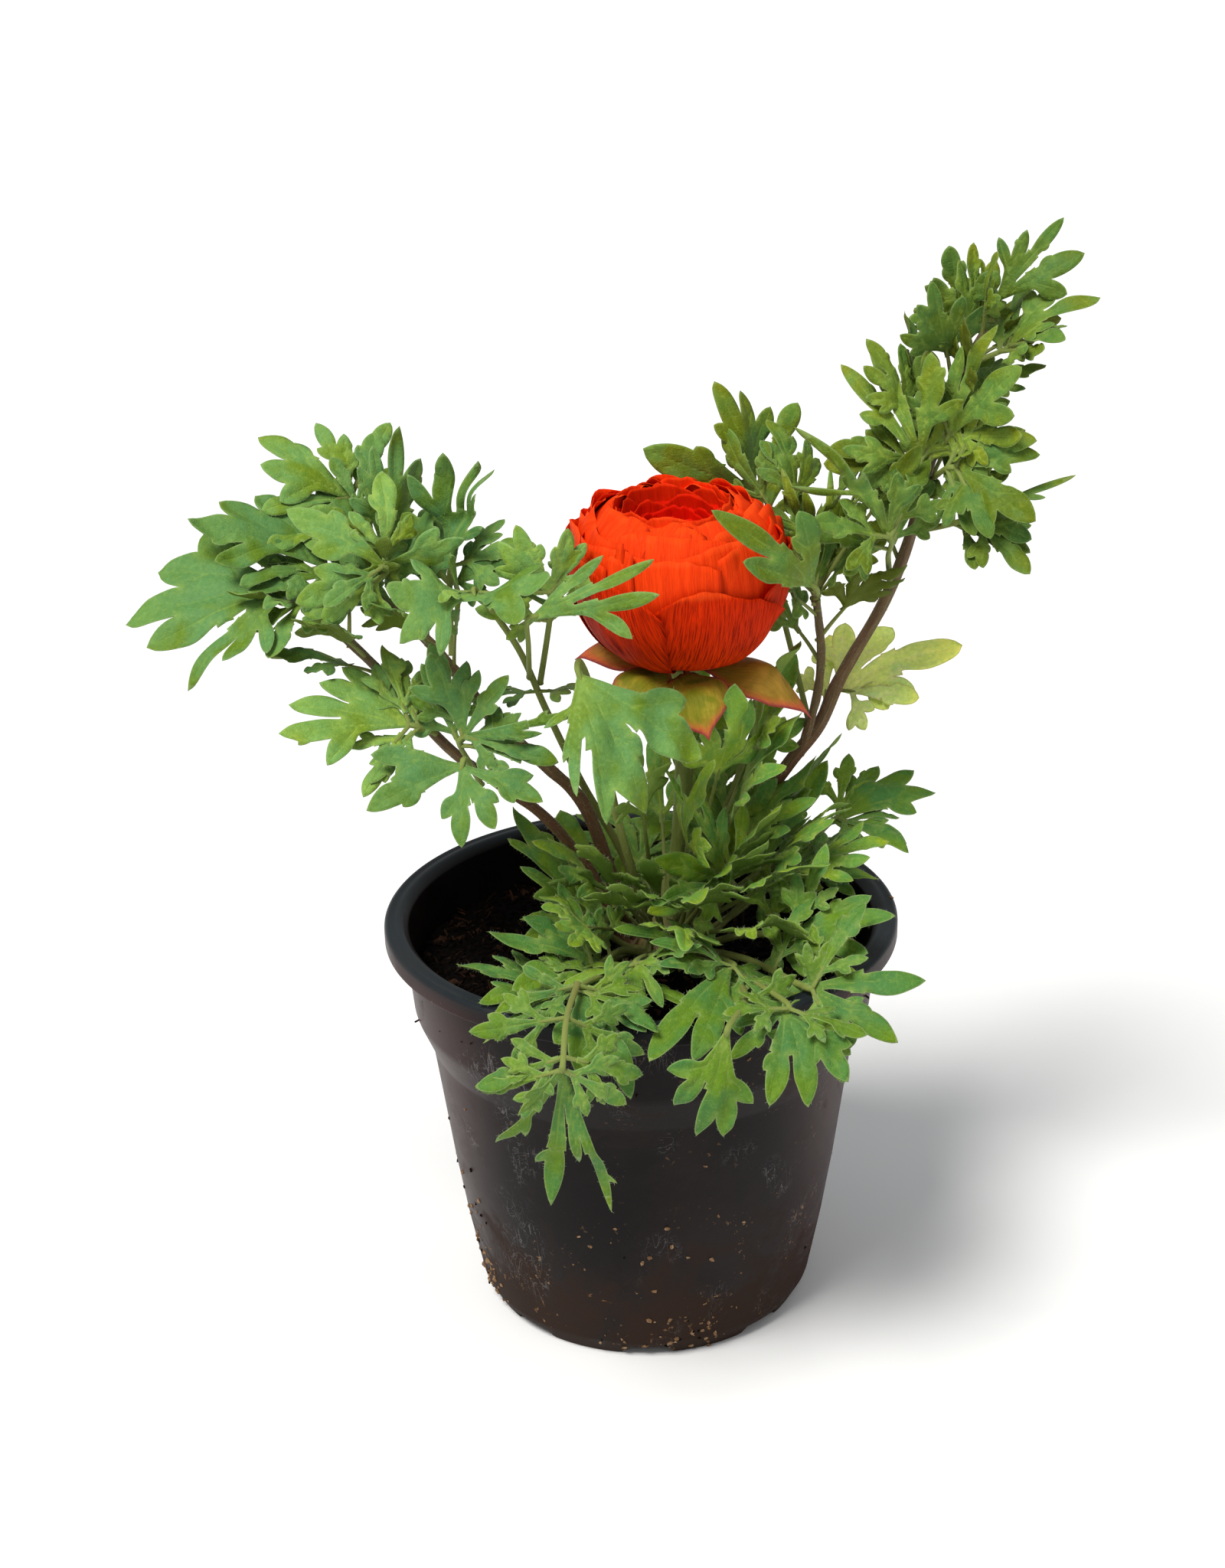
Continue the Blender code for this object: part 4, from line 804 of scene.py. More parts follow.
def build_soil(materials):
    at_wall = COLLAR_FOOT[0] - WALL_THICK + 0.9 - SOIL_GAP
    rings = np.linspace(at_wall, 1.2, 44)
    profile = [
        (0.0, 1.8), (PAD_RADIUS + 0.2, 1.8), (PAD_RADIUS + 2.6, CHANNEL_HEIGHT + 1.7),
        (WALL[2][0] - WALL_THICK - SOIL_GAP, CHANNEL_HEIGHT + 2.2),
        (WALL[1][0] - WALL_THICK - SOIL_GAP, WALL[1][1]),
        (SHOULDER[0] - WALL_THICK - SOIL_GAP, SHOULDER[1] - 1),
        (COLLAR_FOOT[0] - WALL_THICK - SOIL_GAP, COLLAR_FOOT[1] + 0.5),
        *((float(r), SOIL_TOP) for r in rings), (0.0, SOIL_TOP),
    ]  # fmt: skip
    angles = [2 * math.pi * k / 128 for k in range(128)]
    rng = np.random.default_rng(41)
    spans = ((-60, 60), (-60, 60), (1.5, 5.0), (-1.2, 1.6))  # where a clod lies, how wide and how high
    clods = [[rng.uniform(*span) for span in spans] for _ in range(150)]

    def place(r, z, angle):
        x, y = r * math.cos(angle), r * math.sin(angle)
        if z != SOIL_TOP:
            return (x, y, z)
        lumps = sum(h * math.exp(-(((x - a) ** 2 + (y - b) ** 2) / s**2)) for a, b, s, h in clods)
        return (x, y, soil_height(x, y) + lumps - (1.4 if r > at_wall - 0.5 else 0))

    points, faces = turned(profile, angles, place)
    shape = Shape()
    shape.add(points, faces, 0, crumbs=1.0)
    soil = shape.mesh("soil_bed", [materials["damp soil"]])
    for tree, material, density, length, width, smallest, lean, seed in (
        ("crumb", "soil crumb", 0.42e6, 0.0011, 0.0014, 0.25, 1.0, 3),
        ("fibre", "bark chip", 0.045e6, 0.0042, 0.00042, 0.3, 3.2, 8),
        ("crumb", "bark chip", 0.03e6, 0.0006, 0.0021, 0.3, 0.9, 15),
    ):
        # Bits lie only on the soil's own top, not on the bits of the round before.
        lowest = (SOIL_TOP - 4) * MM
        bare = [float(v.co.z > lowest and i < len(points)) for i, v in enumerate(soil.data.vertices)]
        soil.data.attributes["crumbs"].data.foreach_set("value", bare)
        grown(soil, TREES[tree], Spread_by="crumbs", Density=density, Length=length, Width=width,
              Smallest=smallest, Lean=lean, Seed=seed, Material=materials[material])  # fmt: skip
    return soil


# ---- stems ----
def placed_start(start):
    """Where a stalk begins: a point, or a direction round the crown in degrees and which row of feet."""
    if len(start) == 3:
        return np.array(start, float)
    out, up = CROWN_FEET[start[1]]
    angle = math.radians(start[0])
    return np.array((CROWN[0] + out * math.cos(angle), CROWN[1] + out * math.sin(angle), SOIL_TOP + up))


def rooted(start, path):
    """The path with its start carried back into the crown or the stem that it grows from."""
    begin = placed_start(start)
    if len(start) == 3:
        back = begin + unit(begin - np.array(path[0], float)) * 1.6
    else:
        back = begin + (np.array((CROWN[0], CROWN[1], begin[2] - 2.5)) - begin) * 0.55
    return [back, begin, *(np.array(p, float) for p in path)]


def add_hair(obj, materials, density, length, seed):
    """Grows fine hairs where the fuzz attribute says, this many to a square metre and this long in metres."""
    return grown(obj, TREES["hair"], Density=density, Length=length, Width=HAIR_WIDTH * MM, Smallest=0.35,
                 Lean=HAIR_LEAN, Sink=length * 0.4, Seed=seed, Material=materials["fine hair"])  # fmt: skip


def build_stems(materials):
    """The crown with the flower's stalk, then the four woody stems."""
    made = []
    span = CALYX_TOP - CROWN_FOOT
    rings = (
        (0.0, 6.4), (1.6, CROWN_RADIUS - 0.4), (4.6, CROWN_RADIUS - 1.2), (7.4, CROWN_RADIUS - 3.6),
        (10.5, 3.2), (16.0, 2.3), (32.0, 2.05), (52.0, 1.95), (68.0, 2.0), (span - 2.2, 2.7),
        (span + 1.5, 4.6),
    )  # fmt: skip
    ups = np.linspace(0, span + 1.5, 60)
    radii = np.interp(ups, *zip(*rings))
    path = []
    for up in ups:
        t = up / span
        path.append(np.array((CROWN[0] + (FLOWER[0] - CROWN[0]) * t + 2.0 * math.sin(math.pi * min(1.0, t)),
                              CROWN[1] + (FLOWER[1] - CROWN[1]) * t, CROWN_FOOT + up)))  # fmt: skip
    shape = Shape()
    points, faces, grain = tube(path, radii, 30, ribs=0.05)
    height = np.array([p[2] for p in points])
    shape.add(points, faces, 0, grain=grain, flush=np.clip((112 - height) / 14, 0.15, 0.85), fuzz=0.5)
    rng = np.random.default_rng(5)
    for k in range(11):  # papery sheaths round the crown
        turn = 2 * math.pi * k / 11 + rng.uniform(-0.2, 0.2)
        out, tall = CROWN_RADIUS + rng.uniform(-0.6, 1.2), rng.uniform(7, 15)
        foot = np.array((CROWN[0] + out * math.cos(turn), CROWN[1] + out * math.sin(turn), CROWN_FOOT - 3))
        way = np.array((math.cos(turn), math.sin(turn), 0.0))
        route = smooth_path([foot, foot + way * 0.8 + UP * tall * 0.5, foot - way * 2.6 + UP * tall], 5)
        widths = np.interp(np.linspace(0, 1, len(route)), (0, 0.5, 1), (2.2, 1.6, 0.25))
        points, faces, grain = tube(route, widths, 10, first_side=np.cross(UP, way), flat=0.32)
        shape.add(points, faces, 0, grain=grain, flush=rng.uniform(0.35, 0.95), fuzz=0.7)
    crown = shape.mesh("crown_and_stalk", [materials["leaf stalk"]])
    add_hair(crown, materials, 0.9e6, 0.0011, 3)
    made.append((crown, ["crown_and_flower_stem"], "stem"))
    for number, (name, (points, thick, thin)) in enumerate(STEMS.items()):
        path = smooth_path(rooted(points[0], points[1:]), 9)
        rng = np.random.default_rng(100 + number)
        wave = ripple(rng, 4, 3, 14)
        share = np.linspace(0, 1, len(path))
        radii = np.interp(share, (0, 1), (thick, thin)) * (1 + 0.06 * wave(share * 6))
        shape = Shape()
        points, faces, grain = tube(path, radii, 16, ribs=0.045)
        along = np.repeat(share, 16)
        shape.add(points, faces, 0, grain=grain, along=along, fuzz=0.55)
        stem = shape.mesh(f"shoot_{name}", [materials["woody stem"]])
        add_hair(stem, materials, 1.5e6, 0.0011, 20 + number)
        made.append((stem, [name], "stem"))
    return made


# ---- leaves ----
def lens(start, end, half, fullest, blunt, root, bend):
    """A pointed lobe in the plane: the outline from its start round its tip and back."""
    along = end - start
    across = np.array((-along[1], along[0])) / max(1e-9, float(np.linalg.norm(along)))
    rise = blunt * fullest / (1 - fullest)
    peak = fullest**rise * (1 - fullest) ** blunt
    left, right = [], []
    for t in np.linspace(0, 1, 15)[:-1]:
        body = t**rise * (1 - t) ** blunt / peak
        w = half * max(body, root * (1 - t))
        middle = start + along * t + across * bend * math.sin(math.pi * t)
        left.append(middle + across * w)
        right.append(middle - across * w)
    return [*right, end, *reversed(left)]


def outer_loop(points, triangles):
    """The longest outline of a triangulated region, anticlockwise."""
    edges = {(t[k], t[(k + 1) % 3]) for t in triangles for k in range(3)}
    following = {}
    for a, b in sorted(edges):
        if (b, a) not in edges:
            following.setdefault(a, []).append(b)
    loops = []
    while following:
        start = next(iter(following))
        loop, here = [], start
        while here in following:
            loop.append(here)
            choices = following[here]
            towards = choices.pop()
            if not choices:
                del following[here]
            here = towards
            if here == start:
                break
        loops.append(loop)

    def area(loop):
        ring = np.array([points[i] for i in loop])
        after = np.roll(ring, -1, axis=0)
        return float((ring[:, 0] * after[:, 1] - ring[:, 1] * after[:, 0]).sum())

    return np.array([points[i] for i in max(loops, key=area)])


def evened(loop, gap):
    """The outline with about even spacing, its sharp corners kept."""
    before, after = np.roll(loop, 1, axis=0), np.roll(loop, -1, axis=0)
    a, b = loop - before, after - loop
    turn = np.abs(np.arctan2(a[:, 0] * b[:, 1] - a[:, 1] * b[:, 0], (a * b).sum(axis=1)))
    keep = [i for i in range(len(loop)) if turn[i] > 0.6] or [0]
    out = []
    for i, j in zip(keep, keep[1:] + [keep[0] + len(loop)]):
        run = np.array([loop[k % len(loop)] for k in range(i, j + 1)])
        gone = np.append(0, np.cumsum(np.linalg.norm(np.diff(run, axis=0), axis=1)))
        count = max(1, round(gone[-1] / gap))
        at = np.linspace(0, gone[-1], count + 1)[:-1]
        out.extend(np.stack([np.interp(at, gone, run[:, 0]), np.interp(at, gone, run[:, 1])], axis=1))
    out = np.array(out)
    apart = np.linalg.norm(out - np.roll(out, 1, axis=0), axis=1) > 0.12
    return out[apart]


def from_segments(points, starts, ends):
    """The distance from each point to the nearest segment."""
    along = ends - starts
    to = points[:, None] - starts[None]
    t = np.clip((to * along).sum(axis=2) / np.maximum(1e-9, (along**2).sum(axis=1)), 0, 1)
    return np.linalg.norm(to - t[..., None] * along, axis=2).min(axis=1)


def inside_by(points, loop):
    """How far points lie inside the outline; negative outside it."""
    after = np.roll(loop, -1, axis=0)
    nearest = from_segments(points, loop, after)
    x, y = points[:, :1], points[:, 1:]
    crosses = (loop[:, 1] > y) != (after[:, 1] > y)
    rise = np.where(np.abs(after[:, 1] - loop[:, 1]) < 1e-12, 1e-12, after[:, 1] - loop[:, 1])
    left_of = x < loop[:, 0] + (y - loop[:, 1]) / rise * (after[:, 0] - loop[:, 0])
    return np.where((crosses & left_of).sum(axis=1) % 2, nearest, -nearest)


def bent_sheet(places, heights, give):
    """A smooth height field near the given heights: a thin-plate spline that may miss them a little."""
    places = np.array(places, float)

    def kernel(a, b):
        square = ((a[:, None] - b[None]) ** 2).sum(axis=2)
        return 0.5 * square * np.log(np.maximum(square, 1e-12))

    n = len(places)
    flat = np.hstack([np.ones((n, 1)), places])
    system = np.block([[kernel(places, places) + give * np.eye(n), flat], [flat.T, np.zeros((3, 3))]])
    weights = np.linalg.lstsq(system, np.append(heights, [0, 0, 0]), rcond=None)[0]

    def height(at):
        at = np.atleast_2d(at)
        return kernel(at, places) @ weights[:n] + np.hstack([np.ones((len(at), 1)), at]) @ weights[n:]

    return height


def lobes_of(flat, width, style, rng, wider):
    """The outlines and the veins of one blade, from the places of its tips in the plane.

    Each tip ends a narrow wedge that splits into fingers. A side finger grows only where the next tip
    leaves it room.
    """
    zero = np.zeros(2)
    shapes, veins = [], []

    def finger(root, end, half, waist):
        bend = rng.uniform(-0.05, 0.05) * float(np.linalg.norm(end - root))
        shapes.append(lens(root, end, half, style["fullest"], style["blunt"], waist, bend))
        veins.append((root, root + (end - root) * 0.88))

    for i, tip in enumerate(flat):
        long = float(np.linalg.norm(tip))
        along = tip / long
        across = np.array((-along[1], along[0]))
        gaps = {}
        for side in (-1, 1):
            reach = long
            if 0 <= i + side < len(flat):
                other = flat[i + side]
                reach = abs(float(across @ other)) * long / max(long, float(np.linalg.norm(other)))
            gaps[side] = min(reach, long)
        if not style["finger"]:
            finger(zero, tip, long * width / 2, 0.2)
            continue
        half = max(1.0, min(style["finger"] * long * wider, 0.4 * min(gaps.values()) * wider, 4.6 * wider))
        split = rng.uniform(0.36, 0.46)
        neck, fork = tip * split * 0.5, tip * (split + 0.12)
        narrow = across * max(0.8, 0.42 * half)
        wide = across * 0.98 * half
        foot = across * 0.7
        shapes.append([-foot, neck - narrow, fork - wide, fork + wide, neck + narrow, foot])
        finger(tip * split, tip, half, 0.9)
        veins.append((zero, tip * split))
        for side in (-1, 1):
            free = gaps[side] / long
            growth = next(found for room, found in FINGERS if free > room)
            for at, reach, lean, share in growth:
                if rng.random() < style["missing"]:
                    continue
                lean = math.radians(lean + rng.uniform(-7, 7)) * side
                way = along * math.cos(lean) + across * math.sin(lean)
                root = tip * (at - 0.04 + rng.uniform(-0.03, 0.04))
                reach = long * reach * rng.uniform(0.75, 1.15)
                finger(root, root + way * reach, min(half * share, reach * 0.3), 0.8)
    return shapes, veins


# The side fingers for the room that there is: place along the lobe, reach, lean in degrees, and width
# against the middle one.
FINGERS = (
    (0.72, ((0.42, 0.46, 42, 0.9), (0.72, 0.17, 32, 0.55))),
    (0.42, ((0.5, 0.29, 34, 0.8),)),
    (0.27, ((0.62, 0.17, 28, 0.6),)),
    (-1.0, ()),
)
STYLES = {
    "cut": {"finger": 0.118, "fullest": 0.52, "blunt": 0.86, "missing": 0.1, "web": 0.35},
    "broad": {"finger": 0.138, "fullest": 0.55, "blunt": 0.74, "missing": 0.12, "web": 0.6},
    "simple": {"finger": 0.15, "fullest": 0.54, "blunt": 0.85, "missing": 0.55, "web": 0.9},
    "plain": {"finger": 0, "fullest": 0.4, "blunt": 1.45, "missing": 1.0, "web": 0},
}  # fmt: skip


def fan(foot, way, side, facing, long, rng, tips, spread):
    """The tips of a leaflet that opens like a hand."""
    found = []
    for k in range(tips):
        aside = 2 * k / (tips - 1) - 1
        turn = math.radians(spread * aside + rng.uniform(-7, 7))
        reach = long * (1.0 - 0.34 * abs(aside)) * rng.uniform(0.9, 1.08)
        outward = way * math.cos(turn) + side * math.sin(turn)
        found.append(foot + reach * outward - facing * reach * 0.1 * rng.uniform(-0.6, 1.6))
    return found


def add_stalk(shape, path, radii, sides, side, flush, fuzz, tone):
    points, faces, grain = tube(path, radii, sides, first_side=side, flat=0.8)
    shape.add(points, faces, 1, grain=grain, flush=flush, fuzz=fuzz, margin=3.0, vein=3.0, tone=tone)


def add_blade(
    shape, foot, tips, joined, width, style, rng, arch, fold, tone, flush=0.0, thick=LEAF_THICK, wider=1.0
):  # fmt: skip
    """A lobed blade with two faces and a rim.

    It returns a point behind the foot, one ahead of it, the blade's side and the way that its top faces.
    """
    foot, tips = np.array(foot, float), np.array(tips, float)
    middle = unit((tips - foot).mean(axis=0))
    upward = np.array((0.0, -0.35, 1.0))
    normal = sum((np.cross(a - foot, b - foot) for a in tips for b in tips
                  if float(np.cross(a - foot, b - foot) @ upward) > 0), np.zeros(3))  # fmt: skip
    if np.linalg.norm(normal) < 1e-6:
        normal = upward
    normal = unit(normal - middle * float(normal @ middle))
    across = np.cross(normal, middle)
    flat = [np.array(((t - foot) @ middle, (t - foot) @ across)) for t in tips]
    order = sorted(range(len(tips)), key=lambda i: math.atan2(flat[i][1], flat[i][0]))
    flat = [flat[i] for i in order]
    raised = [float((tips[i] - foot) @ normal) for i in order]
    longest = max(float(np.linalg.norm(t)) for t in flat)

    zero = np.zeros(2)
    shapes, veins = lobes_of(flat, width, STYLES[style], rng, wider)
    shapes.append([np.array(p) for p in ((-1.8, -0.7), (1.6, -0.9), (1.6, 0.9), (-1.8, 0.7))])
    for a, b in zip(flat, flat[1:]):
        web = joined * STYLES[style]["web"]
        shapes.append([zero, a * web, (a + b) * web * 0.4, b * web])
    corners, rings = [], []
    for outline in shapes:
        rings.append(list(range(len(corners), len(corners) + len(outline))))
        corners.extend(outline)
    filled = delaunay_2d_cdt([tuple(c) for c in corners], [], rings, 1, 1e-4)
    loop = evened(outer_loop([np.array(p) for p in filled[0]], filled[2]), EDGE_STEP)

    low, high = loop.min(axis=0), loop.max(axis=0)
    columns, rows = np.arange(low[0], high[0], SHEET_STEP), np.arange(low[1], high[1], SHEET_STEP * 0.87)
    xs, ys = np.meshgrid(columns, rows)
    xs = xs + SHEET_STEP / 2 * (np.arange(len(xs)) % 2)[:, None]
    inner = np.stack([xs.ravel(), ys.ravel()], axis=1)
    inner = inner[inside_by(inner, loop) > 0.42]
    layout = delaunay_2d_cdt([tuple(p) for p in [*loop, *inner]], [], [list(range(len(loop)))], 1, 1e-5)
    sheet, triangles = np.array([tuple(p) for p in layout[0]]), np.array(layout[2])

    places, heights = [(-6.0, 0.0), (0.0, 0.0)], [0.0, 0.0]
    for tip, rise in zip(flat, raised):
        long = float(np.linalg.norm(tip))
        places += [tuple(tip), tuple(tip * 0.5)]
        heights += [rise, rise * 0.4 + arch * long]
        if len(flat) == 1:
            side = np.array((-tip[1], tip[0])) * width / 2
            places += [tuple(tip * 0.65 + side), tuple(tip * 0.65 - side)]
            heights += [rise * 0.55 + 0.3 * arch * long] * 2
    lift = bent_sheet(places, heights, 4.0)
    edge = np.maximum(0.0, inside_by(sheet, loop))
    ahead, behind = np.roll(loop, -1, axis=0) - loop, loop - np.roll(loop, 1, axis=0)
    bends = np.arctan2(behind[:, 0] * ahead[:, 1] - behind[:, 1] * ahead[:, 0], (behind * ahead).sum(axis=1))
    notches = loop[(bends < -0.6) & (np.linalg.norm(loop, axis=1) > 0.25 * longest)]
    cleft = np.zeros(len(sheet))
    if len(notches):
        cleft = np.exp(-((np.linalg.norm(sheet[:, None] - notches[None], axis=2).min(axis=1) / 1.3) ** 2))
    from_vein = from_segments(sheet, np.array([v[0] for v in veins]), np.array([v[1] for v in veins]))
    away = np.linalg.norm(sheet, axis=1)
    wave_a, wave_b = ripple(rng, 4, 0.25, 0.7), ripple(rng, 4, 0.25, 0.7)
    wave = wave_a(sheet[:, 0]) * wave_b(sheet[:, 1])
    high = lift(sheet) - lift(np.zeros((1, 2)))[0]
    fold = fold * rng.uniform(0.6, 1.9)
    curl = (0.0 if style == "plain" else rng.uniform(-0.11, 0.05)) * longest
    high = high + fold * from_vein * np.clip(away / 5, 0, 1)
    high = high + 0.45 * wave * np.exp(-edge / 1.6) * np.clip(away / 6, 0, 1)
    high = high + curl * (away / longest) ** 3
    high = high + 0.9 * wave_b(sheet[:, 0] * 0.4 + sheet[:, 1]) * np.clip(away / longest, 0, 1)
    high = high - 0.14 * np.exp(-((from_vein / 0.4) ** 2)) * np.clip(away / 3, 0, 1)
    middles = foot + np.outer(sheet[:, 0], middle) + np.outer(sheet[:, 1], across) + np.outer(high, normal)
    a, b, c = (middles[triangles[:, k]] for k in range(3))
    facing = np.zeros_like(middles)
    for k in range(3):
        np.add.at(facing, triangles[:, k], np.cross(b - a, c - a))
    facing /= np.maximum(1e-9, np.linalg.norm(facing, axis=1))[:, None]
    half = thick / 2 * (0.35 + 0.65 * np.clip(edge / 0.5, 0, 1))
    ridge = 0.35 * np.exp(-((from_vein / 0.35) ** 2)) * np.exp(-away / (0.45 * longest))
    top = middles + facing * half[:, None]
    bottom = middles - facing * (half + ridge)[:, None]
    n = len(sheet)
    ends = {(int(t[k]), int(t[(k + 1) % 3])) for t in triangles for k in range(3)}
    rim = [e for e in sorted(ends) if (e[1], e[0]) not in ends]
    faces = [tuple(int(i) for i in t) for t in triangles]
    faces += [(c + n, b + n, a + n) for a, b, c in faces]
    faces += [(i + n, j + n, j, i) for i, j in rim]
    grain = np.stack([from_vein, away, np.full(n, 7.0 * tone)], axis=1)
    fuzz = np.where(edge < 0.5, 1.0, 0.1)
    shape.add([*top, *bottom], faces, 0, margin=both(edge), vein=both(from_vein), along=both(away) / longest,
              cleft=both(cleft), under=np.repeat((0.0, 1.0), n), tone=tone, flush=flush, fuzz=both(fuzz),
              grain=[tuple(g) for g in both(grain)])  # fmt: skip
    return foot - middle * 2.0, foot + middle * 1.2, across, normal


def build_leaf(name, materials, number):
    """One large leaf: its blade, its stalk and the leaflets along the stalk."""
    start, passing, foot, tips, joined, width = LEAVES[name]
    rng = np.random.default_rng(1000 + number)
    rosette, right = name.startswith("leaf_rosette"), name.startswith("leaf_right")
    old, low = name == "leaf_old_yellow", rosette and name != "leaf_rosette_18"
    style = "simple" if name in SIMPLE else "cut" if low or name in FINELY_CUT else "broad"
    tissue = "rosette leaf" if low else "old leaf" if old else "right shoot leaf" if right else "shoot leaf"
    shape = Shape()
    tone = 0.42 if name in SIMPLE else 0.75 if old else float(rng.uniform(0.0, 0.7 if right else 1.0))
    wider = WIDER.get(name, 1.0)
    blade = add_blade(shape, foot, tips, joined, width, style, rng, 0.07, 0.2, tone, wider=wider)
    back, base, across, normal = blade
    path = smooth_path([*rooted(start, [*passing, back]), base - normal * 0.1], 7)
    share = np.linspace(0, 1, len(path))
    from_crown = len(start) == 2
    thick = (1.5, 1.05, 0.72, 0.4) if from_crown else (0.95, 0.8, 0.66, 0.4)
    radii = np.interp(share, (0, 0.25, 0.9, 1), thick)
    reddest = 1.0 if rosette or from_crown else 0.5
    flush = np.repeat(np.interp(share, (0, 0.6, 1), (0.55, 0.2, 0.0)), 12) * reddest
    add_stalk(shape, path, radii, 12, across, flush, 0.35, tone)
    middle = unit(base - back)
    longest = max(float(np.linalg.norm(np.array(t) - foot)) for t in tips)
    most = 17.0 if name == "leaf_rosette_06" else 20.0
    for at, hands in LEAFLETS.get(name, DEFAULT_LEAFLETS):
        node = path[int(at * (len(path) - 1))]
        for hand in hands:
            way = unit(across * hand + middle * rng.uniform(0.35, 0.7) + UP * rng.uniform(0.0, 0.3))
            facing = unit(normal + UP * 0.6 - way * float((normal + UP * 0.6) @ way))
            side = np.cross(facing, way)
            stalk_long = rng.uniform(2.5, 5.0)
            heel = node + way * stalk_long
            long = min(most, max(11.0, longest * rng.uniform(0.55, 0.75)))
            spread = fan(heel, way, side, facing, long, rng, 3, 44.0)
            turned_tone = min(1.0, max(0.0, tone + rng.uniform(-0.4, 0.4)))
            add_blade(shape, heel, spread, 0.3, 0.36, style, rng, 0.06, 0.2, turned_tone)
            twig = smooth_path([node, node + way * stalk_long * 0.5, heel, heel + way * 1.5], 3)
            add_stalk(shape, twig, np.linspace(0.62, 0.4, len(twig)), 8, side, 0.1, 0.35, tone)
    leaf = shape.mesh(f"fine_{name}", [materials[tissue], materials["leaf stalk"]])
    add_hair(leaf, materials, 1.5e6 if rosette else 0.8e6, 0.0009 if rosette else 0.0006, 200 + number)
    return leaf


# Leaves with broader or narrower fingers than the rest.
WIDER = {
    "leaf_rosette_18": 1.05, "leaf_left_01": 1.1, "leaf_left_02": 1.15, "leaf_left_07": 1.15,
    "leaf_left_11": 0.62, "leaf_right_01": 0.85, "leaf_right_02": 0.9, "leaf_right_03": 0.85,
    "leaf_right_04": 0.85,
    "leaf_right_05": 0.62, "leaf_right_08": 0.9, "leaf_right_09": 1.05, "leaf_old_yellow": 1.2,
}  # fmt: skip
SIMPLE = ("leaf_right_09", "leaf_rosette_18", "leaf_left_11")
FINELY_CUT = ("leaf_left_08", "leaf_left_09", "leaf_left_10")
# Where along a leaf's stalk its side leaflets grow, and on which hands.
DEFAULT_LEAFLETS = ((0.64, (-1, 1)), (0.87, (-1, 1)))
LEAFLETS = {
    "leaf_rosette_06": ((0.22, (-1, 1)), (0.5, (-1, 1)), (0.72, (-1, 1)), (0.92, (-1, 1))),
    "leaf_rosette_09": ((0.45, (1,)),), "leaf_rosette_18": (), "leaf_right_01": (),
    "leaf_right_09": ((0.3, (-1,)),), "leaf_right_11": ((0.5, (-1, 1)), (0.7, (-1, 1)), (0.87, (-1, 1))),
    "leaf_old_yellow": ((0.62, (1,)), (0.85, (-1,))),
    "leaf_left_06": ((0.62, (-1, 1)), (0.86, (-1, 1))), "leaf_left_07": ((0.5, (-1, 1)),), "leaf_left_09": (),
    "leaf_left_11": (),
}  # fmt: skip


def add_young_leaf(shape, start, way, stalk_long, long, rng, style, tips, thick, flat_up, tones):
    """A whole small leaf: a curved stalk, and a blade that opens at its end."""
    way = unit(way)
    bow = unit(np.cross(way, UP) + 1e-6) * rng.uniform(-0.15, 0.15) + UP * 0.12
    heel = start + way * stalk_long + bow * stalk_long
    bend = start + way * stalk_long * 0.5 + bow * stalk_long * 0.7
    route = smooth_path([start - way * 1.5, start, bend, heel], 5)
    ahead = unit(route[-1] - route[-3] - UP * rng.uniform(0.0, 0.5) * 0.5)
    facing = unit(UP * flat_up + rng.uniform(-0.45, 0.45, 3))
    facing = unit(facing - ahead * float(facing @ ahead))
    side = np.cross(facing, ahead)
    tone = rng.uniform(*tones)
    ends = fan(heel, ahead, side, facing, long, rng, tips, 50.0 if tips > 3 else 42.0)
    add_blade(shape, heel, ends, 0.36, 0.36 if tips > 3 else 0.42, style, rng, 0.06, 0.24, tone)
    route = np.vstack([route, heel + ahead * 1.5])
    add_stalk(shape, route, np.linspace(thick, 0.42, len(route)), 8, side, 0.25, 0.4, tone)


def build_young_leaves(materials):
    """The small leaves between the large ones: round the crown, and along both shoots."""
    made = []
    shape, rng = Shape(), np.random.default_rng(310)
    for k, (turn, steep, stalk_long, long) in enumerate(YOUNG_ROSETTE):
        turn, steep = math.radians(turn), math.radians(steep)
        flat_way = np.array((math.cos(turn), math.sin(turn), 0.0))
        start = np.array((CROWN[0], CROWN[1], SOIL_TOP + 8)) + flat_way * 4.5
        way = flat_way * math.cos(steep) + UP * math.sin(steep)
        tips = 5 if k % 2 else 3
        add_young_leaf(shape, start, way, stalk_long, long * 1.12, rng, "cut", tips, 0.9, 1.3, (0.55, 1.0))
    rosette = shape.mesh("young_rosette_leaves", [materials["rosette leaf"], materials["leaf stalk"]])
    made.append(add_hair(rosette, materials, 1.5e6, 0.0009, 400))
    for name, stems in (("young_left_leaves", ("stem_left_upper", "stem_left_lower")),
                        ("young_right_leaves", ("stem_right", "stem_right_side"))):  # fmt: skip
        shape = Shape()
        for stem in stems:
            points = STEMS[stem][0]
            path = smooth_path(rooted(points[0], points[1:])[1:], 10)
            for at, turn, stalk_long, long, tips in YOUNG_SHOOT[stem]:
                i = min(len(path) - 2, int(at * (len(path) - 1)))
                along = unit(path[i + 1] - path[i])
                level = unit(np.cross(along, UP))
                turn = math.radians(turn)
                out = level * math.cos(turn) + np.cross(level, along) * math.sin(turn)
                way = out * 0.8 + along * 0.8 + UP * 0.1
                add_young_leaf(shape, path[i], way, stalk_long, long, rng, "broad", tips, 0.75, 0.5,
                               (0.0, 0.65))  # fmt: skip
        tissue = "right shoot leaf" if name == "young_right_leaves" else "shoot leaf"
        shoot = shape.mesh(name, [materials[tissue], materials["leaf stalk"]])
        made.append(add_hair(shoot, materials, 0.8e6, 0.0006, 401 + len(made)))
    return made


